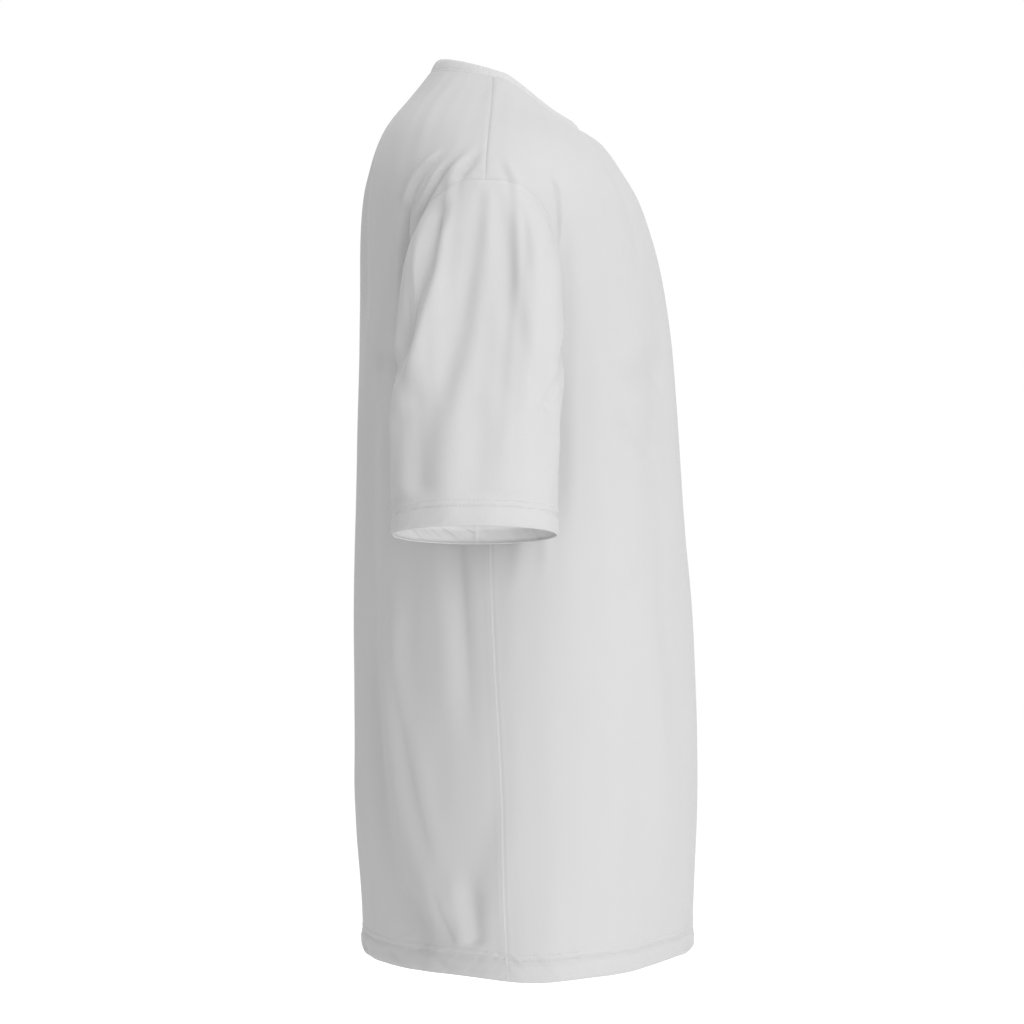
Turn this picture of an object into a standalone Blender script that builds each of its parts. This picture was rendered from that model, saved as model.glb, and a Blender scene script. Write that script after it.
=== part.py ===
"""A short-sleeved t-shirt, hollow and filled out as if worn, in five pieces: front, back, two sleeves
and a collar band.

Metres, +Z up. The front faces -Y and the wearer's right side lies at -X. The origin is the middle of
the neck at the height of the shoulder seams' neck ends. Each piece is a thin wall with its outer face
on the cloth's outside; the pieces stop a seam gap apart along shared curves.
"""

import math

import bmesh
import bpy
import numpy as np

MM = 0.001
SEAM_GAP = 0.30 * MM  # between the edges of two pieces sewn together
BODY_WALL = 1.5 * MM
SLEEVE_WALL = 1.5 * MM
COLLAR_WALL = 2.0 * MM  # two layers of rib

# Cross-sections of the body from the hem up to the neckline, in mm. "side" is the widest point of the
# section, "front" and "back" its points on the centre line, "mid_y" the depth of its widest point and
# "seam_y" that of the side or shoulder seam. "lean" bends a section's height towards the neckline's.
SECTION_COLUMNS = (
    "run", "side_x", "side_z", "mid_y", "front_y", "front_z", "back_y", "back_z", "seam_y", "lean", "full"
)
SECTIONS = {
    "hem": (0.00, 214.5, -750.4, -30.5, -175.6, -750.4, 116.2, -750.4, -12.2, 0.0, -0.045),
    "above_hem": (0.40, 213.0, -710.0, -30.5, -177.8, -710.0, 117.2, -710.0, -10.0, 0.0, -0.032),
    "hip": (1.00, 210.0, -650.0, -29.5, -180.2, -650.0, 121.8, -650.0, -8.4, 0.0, -0.016),
    "low_waist": (2.00, 205.5, -550.0, -27.0, -179.8, -552.0, 122.2, -551.0, -4.4, 0.0, 0.0),
    "waist": (3.00, 201.5, -450.0, -24.0, -175.2, -456.0, 122.0, -453.0, 0.8, 0.0, 0.005),
    "ribs": (3.90, 200.0, -360.0, -21.0, -168.6, -372.0, 120.6, -366.0, 2.6, 0.0, 0.012),
    "armpit": (4.55, 200.0, -295.0, -17.0, -164.0, -312.0, 119.7, -302.0, 3.2, 0.0, 0.018),
    "low_armhole": (5.15, 207.0, -235.0, -10.0, -159.6, -244.0, 118.4, -232.0, 3.8, 0.0, 0.018),
    "mid_armhole": (5.70, 221.0, -180.0, -3.0, -151.8, -182.0, 117.2, -168.0, 4.4, 0.0, 0.012),
    "high_armhole": (6.15, 234.5, -135.0, 2.0, -141.8, -136.0, 116.2, -121.0, 4.8, 0.0, 0.0),
    "shoulder_tip": (6.50, 236.0, -101.0, 5.0, -130.0, -101.0, 112.4, -86.0, 5.0, 0.05, 0.0),
    "outer_shoulder": (6.93, 209.0, -62.0, 3.0, -115.6, -75.5, 103.2, -50.0, 3.0, 0.25, 0.0),
    "mid_shoulder": (7.36, 172.0, -38.0, 1.0, -104.6, -57.5, 91.6, -27.0, 1.2, 0.45, 0.0),
    "inner_shoulder": (7.82, 131.0, -18.0, -4.0, -92.6, -44.4, 76.0, -7.0, 0.4, 0.75, 0.0),
    "neckline": (8.25, 91.0, 1.0, -10.5, -79.2, -35.6, 56.4, 18.4, 0.0, 1.0, 0.0),
}

# Armhole, as seen from the side: how far it reaches forward and back of the seam line, in mm.
ARMHOLE_FRONT = 60.5
ARMHOLE_BACK = 62.5
ARMHOLE_POWER = 2.45  # 2 is an ellipse, more is squarer

# Sleeve, in mm. The hem is an oval square to the sleeve's axis, tilted out from the body.
SLEEVE_HEM_X = 266.0
SLEEVE_HEM_Y = 13.4
SLEEVE_HEM_Z = -386.5
SLEEVE_HEM_HALF_WIDTH = 54.0
SLEEVE_HEM_HALF_DEPTH = 66.0
SLEEVE_TILT = math.radians(8.4)
SLEEVE_PULL = 0.9  # length of the end tangents, as a share of each line's length
# Direction in which the sleeve leaves the armhole (outward, forward, up), by place round the armhole.
SLEEVE_START = {
    "armpit": (0.00, 0.42, 0.00, -0.90),
    "low_front": (0.25, 0.80, 0.02, -0.58),
    "front": (0.50, 0.93, 0.06, -0.36),
    "high_front": (0.78, 0.82, 0.10, -0.56),
    "top": (1.00, 0.44, 0.00, -0.90),
    "high_back": (1.24, 0.72, -0.36, -0.58),
    "back": (1.50, 0.92, -0.12, -0.38),
    "low_back": (1.75, 0.80, -0.06, -0.60),
    "armpit_again": (2.00, 0.42, 0.00, -0.90),
}

# Collar's top edge, in mm: half-width, middle, depths and heights, as for a section.
COLLAR_TOP = {"side_x": 80.0, "side_z": 9.6, "mid_y": -9.3, "front_y": -69.6, "front_z": -23.4,
              "back_y": 50.4, "back_z": 30.2}
COLLAR_BOW = 1.2  # mm, how far the rib bows out between its edges

TINY = 1e-9  # a length below which a direction has no meaning
NORMAL_STEPS = (0.01, 0.02)  # steps in angle and in run from which the body's normals are taken
BODY_MID_Y = -25.0  # mm, about the middle of the body, from which "outward" is told
OUTWARD_RISE = 0.6  # how much of that direction is up
SHOULDER_OUT_Z = 120.0  # mm, how much of "outward" is up

# Folds, in mm. A fold follows a curve through three points of the side view (y, z), for the side
# tables, or of the front view (x, z). "width" is the half-width of its trough, "height" is negative
# for a valley, and "lip" the share of that height raised along its far side.
FOLD_COLUMNS = ("a1", "z1", "a2", "z2", "a3", "z3", "width", "height", "lip")
RIGHT_BODY_FOLDS = {
    "back_ridge": (99, -372, 84, -520, 24, -730, 15, 5.5, 0.0),
    "hem_valley": (26, -610, 17, -680, 19, -738, 13, -4.6, 0.2),
    "under_sleeve_valley": (26, -330, 22, -430, 15, -560, 13, -3.2, 0.5),
    "side_front_valley": (-61, -190, -62, -330, -48, -600, 17, -4.0, 0.3),
    "front_armhole_crease": (-50, -90, -57, -118, -56, -160, 8, -4.0, 0.5),
    "shoulder_back_ridge": (38, -66, 65, -90, 73, -130, 10, 4.0, 0.0),
    "shoulder_back_valley": (38, -86, 54, -108, 63, -140, 8, -4.5, 0.4),
    "blade_drape": (92, -150, 100, -240, 98, -350, 16, -2.8, 0.3),
    "back_edge_notch": (108, -690, 110, -722, 112, -752, 10, -2.2, 0.5),
}
LEFT_BODY_FOLDS = {
    "back_ridge": (96, -350, 80, -500, 34, -725, 17, 4.8, 0.0),
    "hem_valley": (30, -640, 22, -700, 20, -742, 14, -4.2, 0.2),
    "under_sleeve_valley": (30, -345, 28, -450, 24, -600, 12, -3.6, 0.4),
    "side_front_valley": (-58, -200, -66, -360, -70, -640, 18, -4.4, 0.3),
    "front_armhole_crease": (-48, -96, -56, -124, -57, -168, 9, -3.6, 0.5),
    "shoulder_back_ridge": (42, -72, 66, -94, 72, -138, 11, 3.4, 0.0),
    "shoulder_back_valley": (34, -84, 52, -110, 62, -146, 8, -4.0, 0.4),
    "blade_drape": (90, -160, 94, -260, 90, -390, 17, -3.0, 0.3),
}
FRONT_FOLDS = {
    "right_breast_drape": (-96, -150, -120, -360, -104, -640, 24, -3.0, 0.5),
    "left_breast_drape": (88, -170, 112, -380, 124, -690, 26, -3.4, 0.5),
    "centre_drape": (-18, -330, -8, -520, -26, -730, 24, -2.6, 0.5),
    "right_armpit_drag": (-160, -262, -128, -246, -88, -252, 14, -2.4, 0.4),
    "left_armpit_drag": (162, -270, 128, -258, 82, -262, 15, -2.6, 0.4),
}
BACK_FOLDS = {
    "right_blade_drape": (-104, -210, -92, -420, -120, -690, 26, -4.2, 0.5),
    "left_blade_drape": (98, -190, 84, -430, 96, -700, 27, -4.6, 0.5),
    "small_of_back": (6, -360, -10, -540, 4, -736, 28, -3.2, 0.5),
    "yoke_drape_right": (-60, -60, -78, -130, -84, -220, 15, -2.6, 0.4),
    "yoke_drape_left": (62, -64, 76, -140, 78, -236, 15, -2.4, 0.4),
}
RIGHT_SLEEVE_FOLDS = {
    "long_back_valley": (31, -106, 50, -190, 74, -288, 11, -7.0, 0.4),
    "middle_valley": (6, -116, 13, -190, 44, -362, 14, -3.6, 0.35),
    "front_valley": (-8, -110, -18, -168, -33, -240, 10, -4.6, 0.35),
    "short_front_valley": (-26, -114, -32, -142, -38, -172, 8, -2.4, 0.3),
    "front_edge_crease": (-62, -262, -52, -286, -36, -304, 9, -4.5, 0.5),
    "front_drape": (-43, -196, -44, -234, -43, -274, 9, -1.8, 0.4),
}
LEFT_SLEEVE_FOLDS = {
    "long_back_valley": (27, -108, 46, -196, 70, -300, 12, -6.4, 0.4),
    "middle_valley": (2, -118, 8, -200, 32, -350, 14, -3.8, 0.35),
    "front_valley": (-12, -114, -24, -176, -36, -250, 8, -4.4, 0.4),
    "front_edge_crease": (-60, -248, -48, -272, -32, -288, 9, -4.0, 0.5),
}

FOLD_FADE = 0.22  # share of a fold's length over which it rises at each end
FOLD_STEPS = 14  # straight steps by which a fold's curve is measured
LIP_PLACE = 1.7  # distance of a fold's raised lip from its line, in half-widths
LIP_WIDTH = 1.15  # half-width of that lip, in half-widths of the fold
SIDE_FACING = (0.12, 0.50)  # how far a surface faces sideways where the side folds begin and are whole
FRONT_FACING = (0.25, 0.70)  # the same for the front and back folds
SLEEVE_FACING = (-0.10, 0.30)  # the same for the sleeves' outer folds
SLEEVE_CALM = 0.12  # share of a sleeve's length over which its folds rise from the armhole
COLLAR_CALM = 0.15  # run below the neckline over which the folds are pressed down
COLLAR_CALM_SHARE = 0.35  # share of a fold's height left at the neckline

# How a leaning section's height goes from its side to its front and back.
FRONT_LEAN_POWER = 1.2
BACK_LEAN_CURVE = 0.1

# Grid of the pieces: columns each side of the centre line, and rows of each stretch.
RIGHT_COLUMNS = 16
LEFT_COLUMNS = 12
SIDE_DENSITY = 1.35  # above 1, the columns stand closer together towards the side seams
HEM_ROWS = 13
ARMHOLE_ROWS = 20
SHOULDER_ROWS = 7
SLEEVE_ROWS = 14
COLLAR_ROWS = 3

COLOURS = {
    "jersey": ((0.60, 0.61, 0.62, 1.0), 0.72),
    "rib": ((0.57, 0.58, 0.59, 1.0), 0.78),
}


def table(rows, columns):
    """A table's rows as one array a column, by name."""
    values = np.array(list(rows.values()), float)
    return {column: values[:, i] for i, column in enumerate(columns)}


def through(known, values, wanted):
    """A natural cubic spline through values at the known places, read at the wanted ones."""
    steps, count = np.diff(known), len(known)
    system, rhs = np.eye(count), np.zeros(count)
    for i in range(1, count - 1):
        system[i, i - 1 : i + 2] = steps[i - 1], 2 * (steps[i - 1] + steps[i]), steps[i]
        rhs[i] = 6 * np.diff(np.diff(values[i - 1 : i + 2]) / steps[i - 1 : i + 1])[0]
    bends = np.linalg.solve(system, rhs)
    wanted = np.clip(wanted, known[0], known[-1])
    i = np.clip(np.searchsorted(known, wanted, side="right") - 1, 0, count - 2)
    step = steps[i]
    low, high = (known[i + 1] - wanted) / step, (wanted - known[i]) / step
    return (
        low * values[i]
        + high * values[i + 1]
        + ((low**3 - low) * bends[i] + (high**3 - high) * bends[i + 1]) * step**2 / 6
    )


def ramp(low, high, x):
    """0 below low and 1 above high, smooth between."""
    x = np.clip((x - low) / (high - low), 0, 1)
    return x * x * (3 - 2 * x)


SECTION = table(SECTIONS, SECTION_COLUMNS)
ARMPIT_RUN = SECTIONS["armpit"][0]
TIP_RUN = SECTIONS["shoulder_tip"][0]
NECK_RUN = SECTIONS["neckline"][0]


def section(column, run):
    return through(SECTION["run"], SECTION[column], run)


def oval(angle, shape):
    """Points of a section at an angle, 0 at the centre front and a half turn at the centre back."""
    c = np.cos(angle)
    ahead, behind = np.maximum(c, 0), np.maximum(-c, 0)
    fuller = 1 + shape["full"] * np.sin(2 * angle) ** 2
    x = shape["side_x"] * np.sin(angle) * fuller
    y = shape["mid_y"] + fuller * (
        ahead * (shape["front_y"] - shape["mid_y"]) + behind * (shape["back_y"] - shape["mid_y"])
    )
    lean = shape["lean"]
    front_share = (1 - lean) * ahead**2 + lean * np.sin(math.pi / 2 * ahead**FRONT_LEAN_POWER)
    back_share = behind + (1 - lean + lean * BACK_LEAN_CURVE) * (behind**2 - behind)
    z = (
        shape["side_z"]
        + front_share * (shape["front_z"] - shape["side_z"])
        + back_share * (shape["back_z"] - shape["side_z"])
    )
    return np.stack([x, y, z], axis=-1)


def body_form(angle, run):
    """The body's surface before its folds, in mm."""
    names = [name for name in SECTION_COLUMNS if name not in ("run", "seam_y")]
    return oval(angle, {name: section(name, run) for name in names})


def unit(vectors):
    return vectors / np.maximum(np.linalg.norm(vectors, axis=-1, keepdims=True), TINY)


def normals(form, a, b):
    """Outward normals of a surface form(a, b), from points a little to each side."""
    along_a = form(a + NORMAL_STEPS[0], b) - form(a - NORMAL_STEPS[0], b)
    along_b = form(a, b + NORMAL_STEPS[1]) - form(a, b - NORMAL_STEPS[1])
    return unit(np.cross(along_a, along_b))


def fold_heights(folds, a, z):
    """Sum of the folds' heights at points of their view."""
    total = np.zeros_like(a)
    for fold in folds.values():
        a1, z1, a2, z2, a3, z3, width, height, lip = fold
        t = np.linspace(0, 1, FOLD_STEPS + 1)
        # The middle point lies on the curve, at its half.
        ca, cz = 2 * a2 - (a1 + a3) / 2, 2 * z2 - (z1 + z3) / 2
        pa = (1 - t) ** 2 * a1 + 2 * t * (1 - t) * ca + t * t * a3
        pz = (1 - t) ** 2 * z1 + 2 * t * (1 - t) * cz + t * t * z3
        best = np.full(a.shape, 1e9)
        side = np.zeros_like(a)
        place = np.zeros_like(a)
        for i in range(FOLD_STEPS):
            da, dz = pa[i + 1] - pa[i], pz[i + 1] - pz[i]
            share = np.clip(((a - pa[i]) * da + (z - pz[i]) * dz) / (da * da + dz * dz), 0, 1)
            oa, oz = a - pa[i] - share * da, z - pz[i] - share * dz
            distance = np.hypot(oa, oz)
            nearer = distance < best
            best = np.where(nearer, distance, best)
            side = np.where(nearer, np.sign(oa * dz - oz * da) * distance, side)
            place = np.where(nearer, t[i] + share * (t[i + 1] - t[i]), place)
        fade = ramp(0, FOLD_FADE, place) * ramp(0, FOLD_FADE, 1 - place)
        trough = np.exp(-((best / width) ** 2))
        raised = np.exp(-(((side - LIP_PLACE * width) / (LIP_WIDTH * width)) ** 2))
        total = total + height * fade * (trough - lip * raised)
    return total


def body(angle, run):
    """The body's outer surface with its folds, in mm."""
    form = body_form(angle, run)
    n = normals(body_form, angle, run)
    n = np.where(np.sum(n * outward(angle), axis=-1, keepdims=True) < 0, -n, n)
    x, y, z = np.moveaxis(form, -1, 0)
    right, left = ramp(*SIDE_FACING, -n[..., 0]), ramp(*SIDE_FACING, n[..., 0])
    lift = right * fold_heights(RIGHT_BODY_FOLDS, y, z) + left * fold_heights(LEFT_BODY_FOLDS, y, z)
    lift += ramp(*FRONT_FACING, -n[..., 1]) * fold_heights(FRONT_FOLDS, x, z)
    lift += ramp(*FRONT_FACING, n[..., 1]) * fold_heights(BACK_FOLDS, x, z)
    calm = COLLAR_CALM_SHARE + (1 - COLLAR_CALM_SHARE) * ramp(0, COLLAR_CALM, NECK_RUN - run)
    return form + n * (lift * calm)[..., None]


def outward(angle):
    """A direction that points roughly out of the body at an angle."""
    return np.stack([np.sin(angle), -np.cos(angle), np.full_like(angle, OUTWARD_RISE)], axis=-1)


def angle_at(y, run):
    """The angle at which a section passes a given depth."""
    mid = section("mid_y", run)
    ahead = (mid - y) / (mid - section("front_y", run))
    behind = (y - mid) / (section("back_y", run) - mid)
    return np.arccos(np.clip(np.where(y < mid, ahead, -behind), -1, 1))


def armhole_run(turn):
    """Height of a place on the armhole: 0 is the armpit, 1 the shoulder tip."""
    c = np.cos(math.pi * turn)
    share = (1 - np.sign(c) * np.abs(c) ** (2 / ARMHOLE_POWER)) / 2
    return ARMPIT_RUN + share * (TIP_RUN - ARMPIT_RUN)


def edge_angle(run, reach):
    """Angle of a panel's side edge: the seam, or the armhole reaching forward (-) or back (+)."""
    share = np.clip((run - ARMPIT_RUN) / (TIP_RUN - ARMPIT_RUN), 0, 1)
    bulge = np.maximum(1 - np.abs(2 * share - 1) ** ARMHOLE_POWER, 0) ** (1 / ARMHOLE_POWER)
    return angle_at(section("seam_y", run) + reach * bulge, run)


def body_runs():
    """Rows of a panel, from the hem to the neckline."""
    low = np.linspace(0, ARMPIT_RUN, HEM_ROWS + 1)[:-1]
    middle = armhole_run(np.linspace(0, 1, ARMHOLE_ROWS + 1))
    high = np.linspace(TIP_RUN, NECK_RUN, SHOULDER_ROWS + 1)[1:]
    return np.concatenate([low, middle, high])


def column_shares():
    """Places of a panel's columns, -1 at the right edge and 1 at the left."""
    right = -(1 - (1 - np.linspace(0, 1, RIGHT_COLUMNS + 1)) ** SIDE_DENSITY)[::-1]
    left = (1 - (1 - np.linspace(0, 1, LEFT_COLUMNS + 1)) ** SIDE_DENSITY)[1:]
    return np.concatenate([right, left])


def panel_grid(front):
    """Points of the front or back panel, a seam's half gap inside its seam lines."""
    runs, shares = np.meshgrid(body_runs(), column_shares(), indexing="ij")
    edge = edge_angle(runs, -ARMHOLE_FRONT if front else ARMHOLE_BACK)
    angle = shares * edge if front else math.pi - shares * (math.pi - edge)
    points = body(np.where(angle > math.pi, angle - 2 * math.pi, angle), runs)
    return points


def square_to(way, seam):
    """Directions with what runs along a seam taken out."""
    along = unit(np.gradient(seam, axis=0))
    return unit(way - np.sum(way * along, axis=-1, keepdims=True) * along)


def seam_room(edge, inside, beyond, wall):
    """How far a wall stops short of its seam: half the gap, and more where the two walls lean together
    inside, as at an outward bend. Each argument is a line of points; "beyond" is the next piece's."""
    own, other = square_to(inside - edge, edge), square_to(beyond - edge, edge)
    half_turn = np.arccos(np.clip(np.sum(own * other, axis=-1), -1, 1)) / 2
    centre = np.array([0.0, BODY_MID_Y, 0.0])
    out = (edge - centre) * (1, 1, 0) + (0, 0, SHOULDER_OUT_Z)
    bends_out = np.sum((own + other) * out, axis=-1) < 0
    room = np.where(bends_out, wall / MM * np.cos(half_turn), 0.0)
    padded = np.pad(room, 1, mode="edge")
    return np.maximum(np.maximum(padded[:-2], padded[2:]), room) + SEAM_GAP / MM / 2


def draw_in(points, rooms):
    """Moves outer rows or columns of a grid inward along it, each by its room."""
    lines = {
        "first_row": ((0,), (1,)),
        "last_row": ((-1,), (-2,)),
        "first_column": ((slice(None), 0), (slice(None), 1)),
        "last_column": ((slice(None), -1), (slice(None), -2)),
    }
    moved = points.copy()
    for side, room in rooms.items():
        edge, inner = lines[side]
        moved[edge] = moved[edge] + square_to(points[inner] - points[edge], points[edge]) * room[:, None]
    return moved


def armhole_point(turn, left):
    """Points of an armhole: turn runs 0 at the armpit, 1 at the tip over the front, 2 back again."""
    ahead = turn <= 1
    place = np.where(ahead, turn, 2 - turn)
    run = armhole_run(place)
    reach = np.sin(math.pi * place) ** (2 / ARMHOLE_POWER)
    reach = np.where(ahead, -ARMHOLE_FRONT, ARMHOLE_BACK) * reach
    angle = angle_at(section("seam_y", run) + reach, run)
    return body(angle if left else -angle, run)


def sleeve_form(turn, share, left):
    """The sleeve's surface before its folds: share runs 0 at the armhole, 1 at the hem."""
    start = armhole_point(turn, left)
    start_table = np.array(list(SLEEVE_START.values()))
    out, ahead, up = (through(start_table[:, 0], start_table[:, i], turn) for i in (1, 2, 3))
    side = 1.0 if left else -1.0
    leave = np.stack([side * out, -ahead, up], axis=-1)
    leave = unit(leave)
    sine, cosine = math.sin(SLEEVE_TILT), math.cos(SLEEVE_TILT)
    round_hem = math.pi * turn
    across = -np.cos(round_hem) * SLEEVE_HEM_HALF_WIDTH
    end = np.stack(
        [
            side * (SLEEVE_HEM_X + across * cosine),
            SLEEVE_HEM_Y - np.sin(round_hem) * SLEEVE_HEM_HALF_DEPTH,
            SLEEVE_HEM_Z + across * sine,
        ],
        axis=-1,
    )
    arrive = np.broadcast_to(np.array([side * sine, 0.0, -cosine]), start.shape)
    length = SLEEVE_PULL * np.linalg.norm(end - start, axis=-1, keepdims=True)
    s = share[..., None]
    return (
        (1 + 2 * s) * (1 - s) ** 2 * start
        + s * (1 - s) ** 2 * length * leave
        + s * s * (3 - 2 * s) * end
        + s * s * (s - 1) * length * arrive
    )


def sleeve_grid(left):
    """Points of a sleeve with its folds."""
    turns = np.linspace(0, 2, 2 * ARMHOLE_ROWS + 1)
    shares = np.linspace(0, 1, SLEEVE_ROWS + 1)
    share, turn = np.meshgrid(shares, turns, indexing="ij")
    form = sleeve_form(turn, share, left)
    along = np.gradient(form, axis=0)
    wrapped = np.concatenate([form[:, -2:-1], form, form[:, 1:2]], axis=1)
    around = wrapped[:, 2:] - wrapped[:, :-2]
    n = unit(np.cross(along, around))
    middle = form[:, :-1].mean(axis=1, keepdims=True)
    n = np.where(np.sum(n * (form - middle), axis=-1, keepdims=True) < 0, -n, n)
    facing = n[..., 0] if left else -n[..., 0]
    folds = LEFT_SLEEVE_FOLDS if left else RIGHT_SLEEVE_FOLDS
    lift = fold_heights(folds, form[..., 1], form[..., 2]) * ramp(*SLEEVE_FACING, facing)
    lift *= ramp(0, SLEEVE_CALM, share)
    return form + n * lift[..., None]


def collar_grid():
    """Points of the collar band, from the neckline up to its top edge."""
    edge = edge_angle(np.array([NECK_RUN]), 0.0)[0]
    front = column_shares() * edge
    back = math.pi - column_shares()[::-1] * (math.pi - edge)
    angle = np.concatenate([front, back[1:]])
    run = np.full_like(angle, NECK_RUN)
    foot = body(np.where(angle > math.pi, angle - 2 * math.pi, angle), run)
    top = oval(angle, {**COLLAR_TOP, "lean": 1.0, "full": 0.0})
    way = top - foot
    bow = unit(np.cross(way, np.gradient(foot, axis=0)))
    bow = np.where(np.sum(bow * outward(angle), axis=-1, keepdims=True) < 0, -bow, bow)
    rise = np.linspace(0, 1, COLLAR_ROWS + 1)[:, None, None]
    return foot + way * rise + bow * COLLAR_BOW * np.sin(math.pi * rise)


def finish(name):
    colour, roughness = COLOURS[name]
    material = bpy.data.materials.new(name)
    material.use_nodes = True
    shader = material.node_tree.nodes["Principled BSDF"]
    shader.inputs["Base Color"].default_value = colour
    shader.inputs["Roughness"].default_value = roughness
    shader.inputs["Metallic"].default_value = 0.0
    return material


def sheet(name, points, wall, material, home, closed=False):
    """A piece of cloth: a grid set on the points, thickened inward."""
    rows, columns = points.shape[0] - 1, points.shape[1] - 1
    grid = bmesh.new()
    bmesh.ops.create_grid(grid, x_segments=columns, y_segments=rows, size=0.5)
    for vertex in grid.verts:
        column = round((vertex.co.x + 0.5) * columns)
        row = round((vertex.co.y + 0.5) * rows)
        vertex.co = points[row, column] * MM
    if closed:
        bmesh.ops.remove_doubles(grid, verts=grid.verts, dist=1e-6)
    grid.normal_update()
    middle = points.reshape(-1, 3).mean(axis=0) * MM
    facing = sum(
        face.calc_area() * face.normal.dot([p - q for p, q in zip(face.calc_center_median(), middle)])
        for face in grid.faces
    )
    if facing < 0:
        bmesh.ops.reverse_faces(grid, faces=grid.faces)
    for face in grid.faces:
        face.smooth = True
    mesh = bpy.data.meshes.new(name)
    grid.to_mesh(mesh)
    grid.free()
    mesh.materials.append(material)
    piece = bpy.data.objects.new(name, mesh)
    home.objects.link(piece)
    thicken = piece.modifiers.new("Wall", "SOLIDIFY")
    thicken.thickness = wall
    thicken.offset = -1.0
    thicken.use_even_offset = True
    thicken.use_quality_normals = True
    return piece


def panel_rooms(points, other, sleeves, collar_row, front):
    """Rooms of a panel's side edges and neckline, beside the other panel, the sleeves and the collar."""
    rooms = {}
    armhole = slice(HEM_ROWS, HEM_ROWS + ARMHOLE_ROWS + 1)
    for side, edge, inner, sleeve in (
        ("first_column", 0, 1, sleeves[0]),
        ("last_column", -1, -2, sleeves[1]),
    ):
        beyond = other[:, inner].copy()
        beyond[armhole] = sleeve[1, : ARMHOLE_ROWS + 1] if front else sleeve[1, ARMHOLE_ROWS:][::-1]
        rooms[side] = seam_room(points[:, edge], points[:, inner], beyond, BODY_WALL)
    rooms["last_row"] = seam_room(points[-1], points[-2], collar_row, BODY_WALL)
    return rooms


def main():
    for old in list(bpy.data.objects):
        bpy.data.objects.remove(old, do_unlink=True)
    home = bpy.data.collections.new("t_shirt")
    bpy.context.scene.collection.children.link(home)
    jersey, rib = finish("jersey"), finish("rib")

    front, back = panel_grid(True), panel_grid(False)
    sleeves = {"sleeve_right": sleeve_grid(False), "sleeve_left": sleeve_grid(True)}
    collar = collar_grid()
    columns = RIGHT_COLUMNS + LEFT_COLUMNS
    pair = list(sleeves.values())

    rooms = panel_rooms(front, back, pair, collar[1, : columns + 1], True)
    sheet("front_panel", draw_in(front, rooms), BODY_WALL, jersey, home)
    rooms = panel_rooms(back, front, pair, collar[1, columns:][::-1], False)
    sheet("back_panel", draw_in(back, rooms), BODY_WALL, jersey, home)

    armhole = slice(HEM_ROWS, HEM_ROWS + ARMHOLE_ROWS + 1)
    for (name, points), inner in zip(sleeves.items(), (1, -2)):
        beyond = np.concatenate([front[armhole, inner], back[armhole, inner][::-1][1:]])
        room = seam_room(points[0], points[1], beyond, SLEEVE_WALL)
        points = draw_in(points, {"first_row": room})
        points[:, -1] = points[:, 0]
        sheet(name, points, SLEEVE_WALL, jersey, home, closed=True)

    beyond = np.concatenate([front[-2], back[-2][::-1][1:]])
    room = seam_room(collar[0], collar[1], beyond, COLLAR_WALL)
    collar = draw_in(collar, {"first_row": room})
    collar[:, -1] = collar[:, 0]
    sheet("collar_band", collar, COLLAR_WALL, rib, home, closed=True)


main()
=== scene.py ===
"""A light grey short-sleeved jersey t-shirt, filled out as if worn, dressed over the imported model.

Lengths are in millimetres while a form is worked out and in metres on the finished meshes. +Z is up, the
front faces -Y and the wearer's right side lies at -X.
"""

import logging
import math
from dataclasses import dataclass, field
from enum import Enum
from typing import ClassVar

import bmesh
import bpy
import numpy as np
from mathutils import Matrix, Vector
from mathutils.kdtree import KDTree

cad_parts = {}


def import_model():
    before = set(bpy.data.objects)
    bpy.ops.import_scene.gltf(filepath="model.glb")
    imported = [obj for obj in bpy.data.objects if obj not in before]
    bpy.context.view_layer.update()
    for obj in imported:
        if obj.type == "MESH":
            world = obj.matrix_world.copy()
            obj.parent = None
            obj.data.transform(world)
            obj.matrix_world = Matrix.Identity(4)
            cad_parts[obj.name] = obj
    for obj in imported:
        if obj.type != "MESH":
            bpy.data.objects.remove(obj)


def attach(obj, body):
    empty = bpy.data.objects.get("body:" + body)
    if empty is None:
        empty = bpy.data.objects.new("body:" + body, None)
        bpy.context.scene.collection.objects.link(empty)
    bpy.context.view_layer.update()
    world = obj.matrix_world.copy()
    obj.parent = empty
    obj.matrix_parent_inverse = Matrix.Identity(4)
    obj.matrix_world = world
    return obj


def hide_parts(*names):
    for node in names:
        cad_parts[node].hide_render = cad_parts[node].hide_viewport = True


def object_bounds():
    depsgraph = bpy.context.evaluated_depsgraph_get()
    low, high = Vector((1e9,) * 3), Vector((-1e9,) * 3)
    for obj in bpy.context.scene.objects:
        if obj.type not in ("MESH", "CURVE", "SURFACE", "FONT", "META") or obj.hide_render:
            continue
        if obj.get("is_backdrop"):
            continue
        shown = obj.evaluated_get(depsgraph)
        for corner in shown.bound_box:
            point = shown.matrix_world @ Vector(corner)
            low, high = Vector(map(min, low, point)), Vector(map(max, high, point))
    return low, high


LOG = logging.getLogger("t_shirt")
MM = 0.001
BODY = "root"
TINY = 1e-9
FAR = 1e9
LINE_STEP = 0.3
Grey = tuple[float, float, float, float]


class Side(Enum):
    """A side of the wearer, with the sign of its X."""

    RIGHT = -1.0
    LEFT = 1.0

    @property
    def word(self) -> str:
        """The side's name in small letters."""
        return self.name.lower()


class Face(Enum):
    """The front or the back of the body."""

    FRONT = "front"
    BACK = "back"


class Held(Enum):
    """How a sheet of cloth is held."""

    DRAPED = "draped"
    STRETCHED = "stretched"


def grey(value: float) -> Grey:
    """An opaque grey of a given lightness."""
    return value, value, value, 1.0


# ---------------------------------------------------------------------------------------------------
# Curves
# ---------------------------------------------------------------------------------------------------


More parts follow.
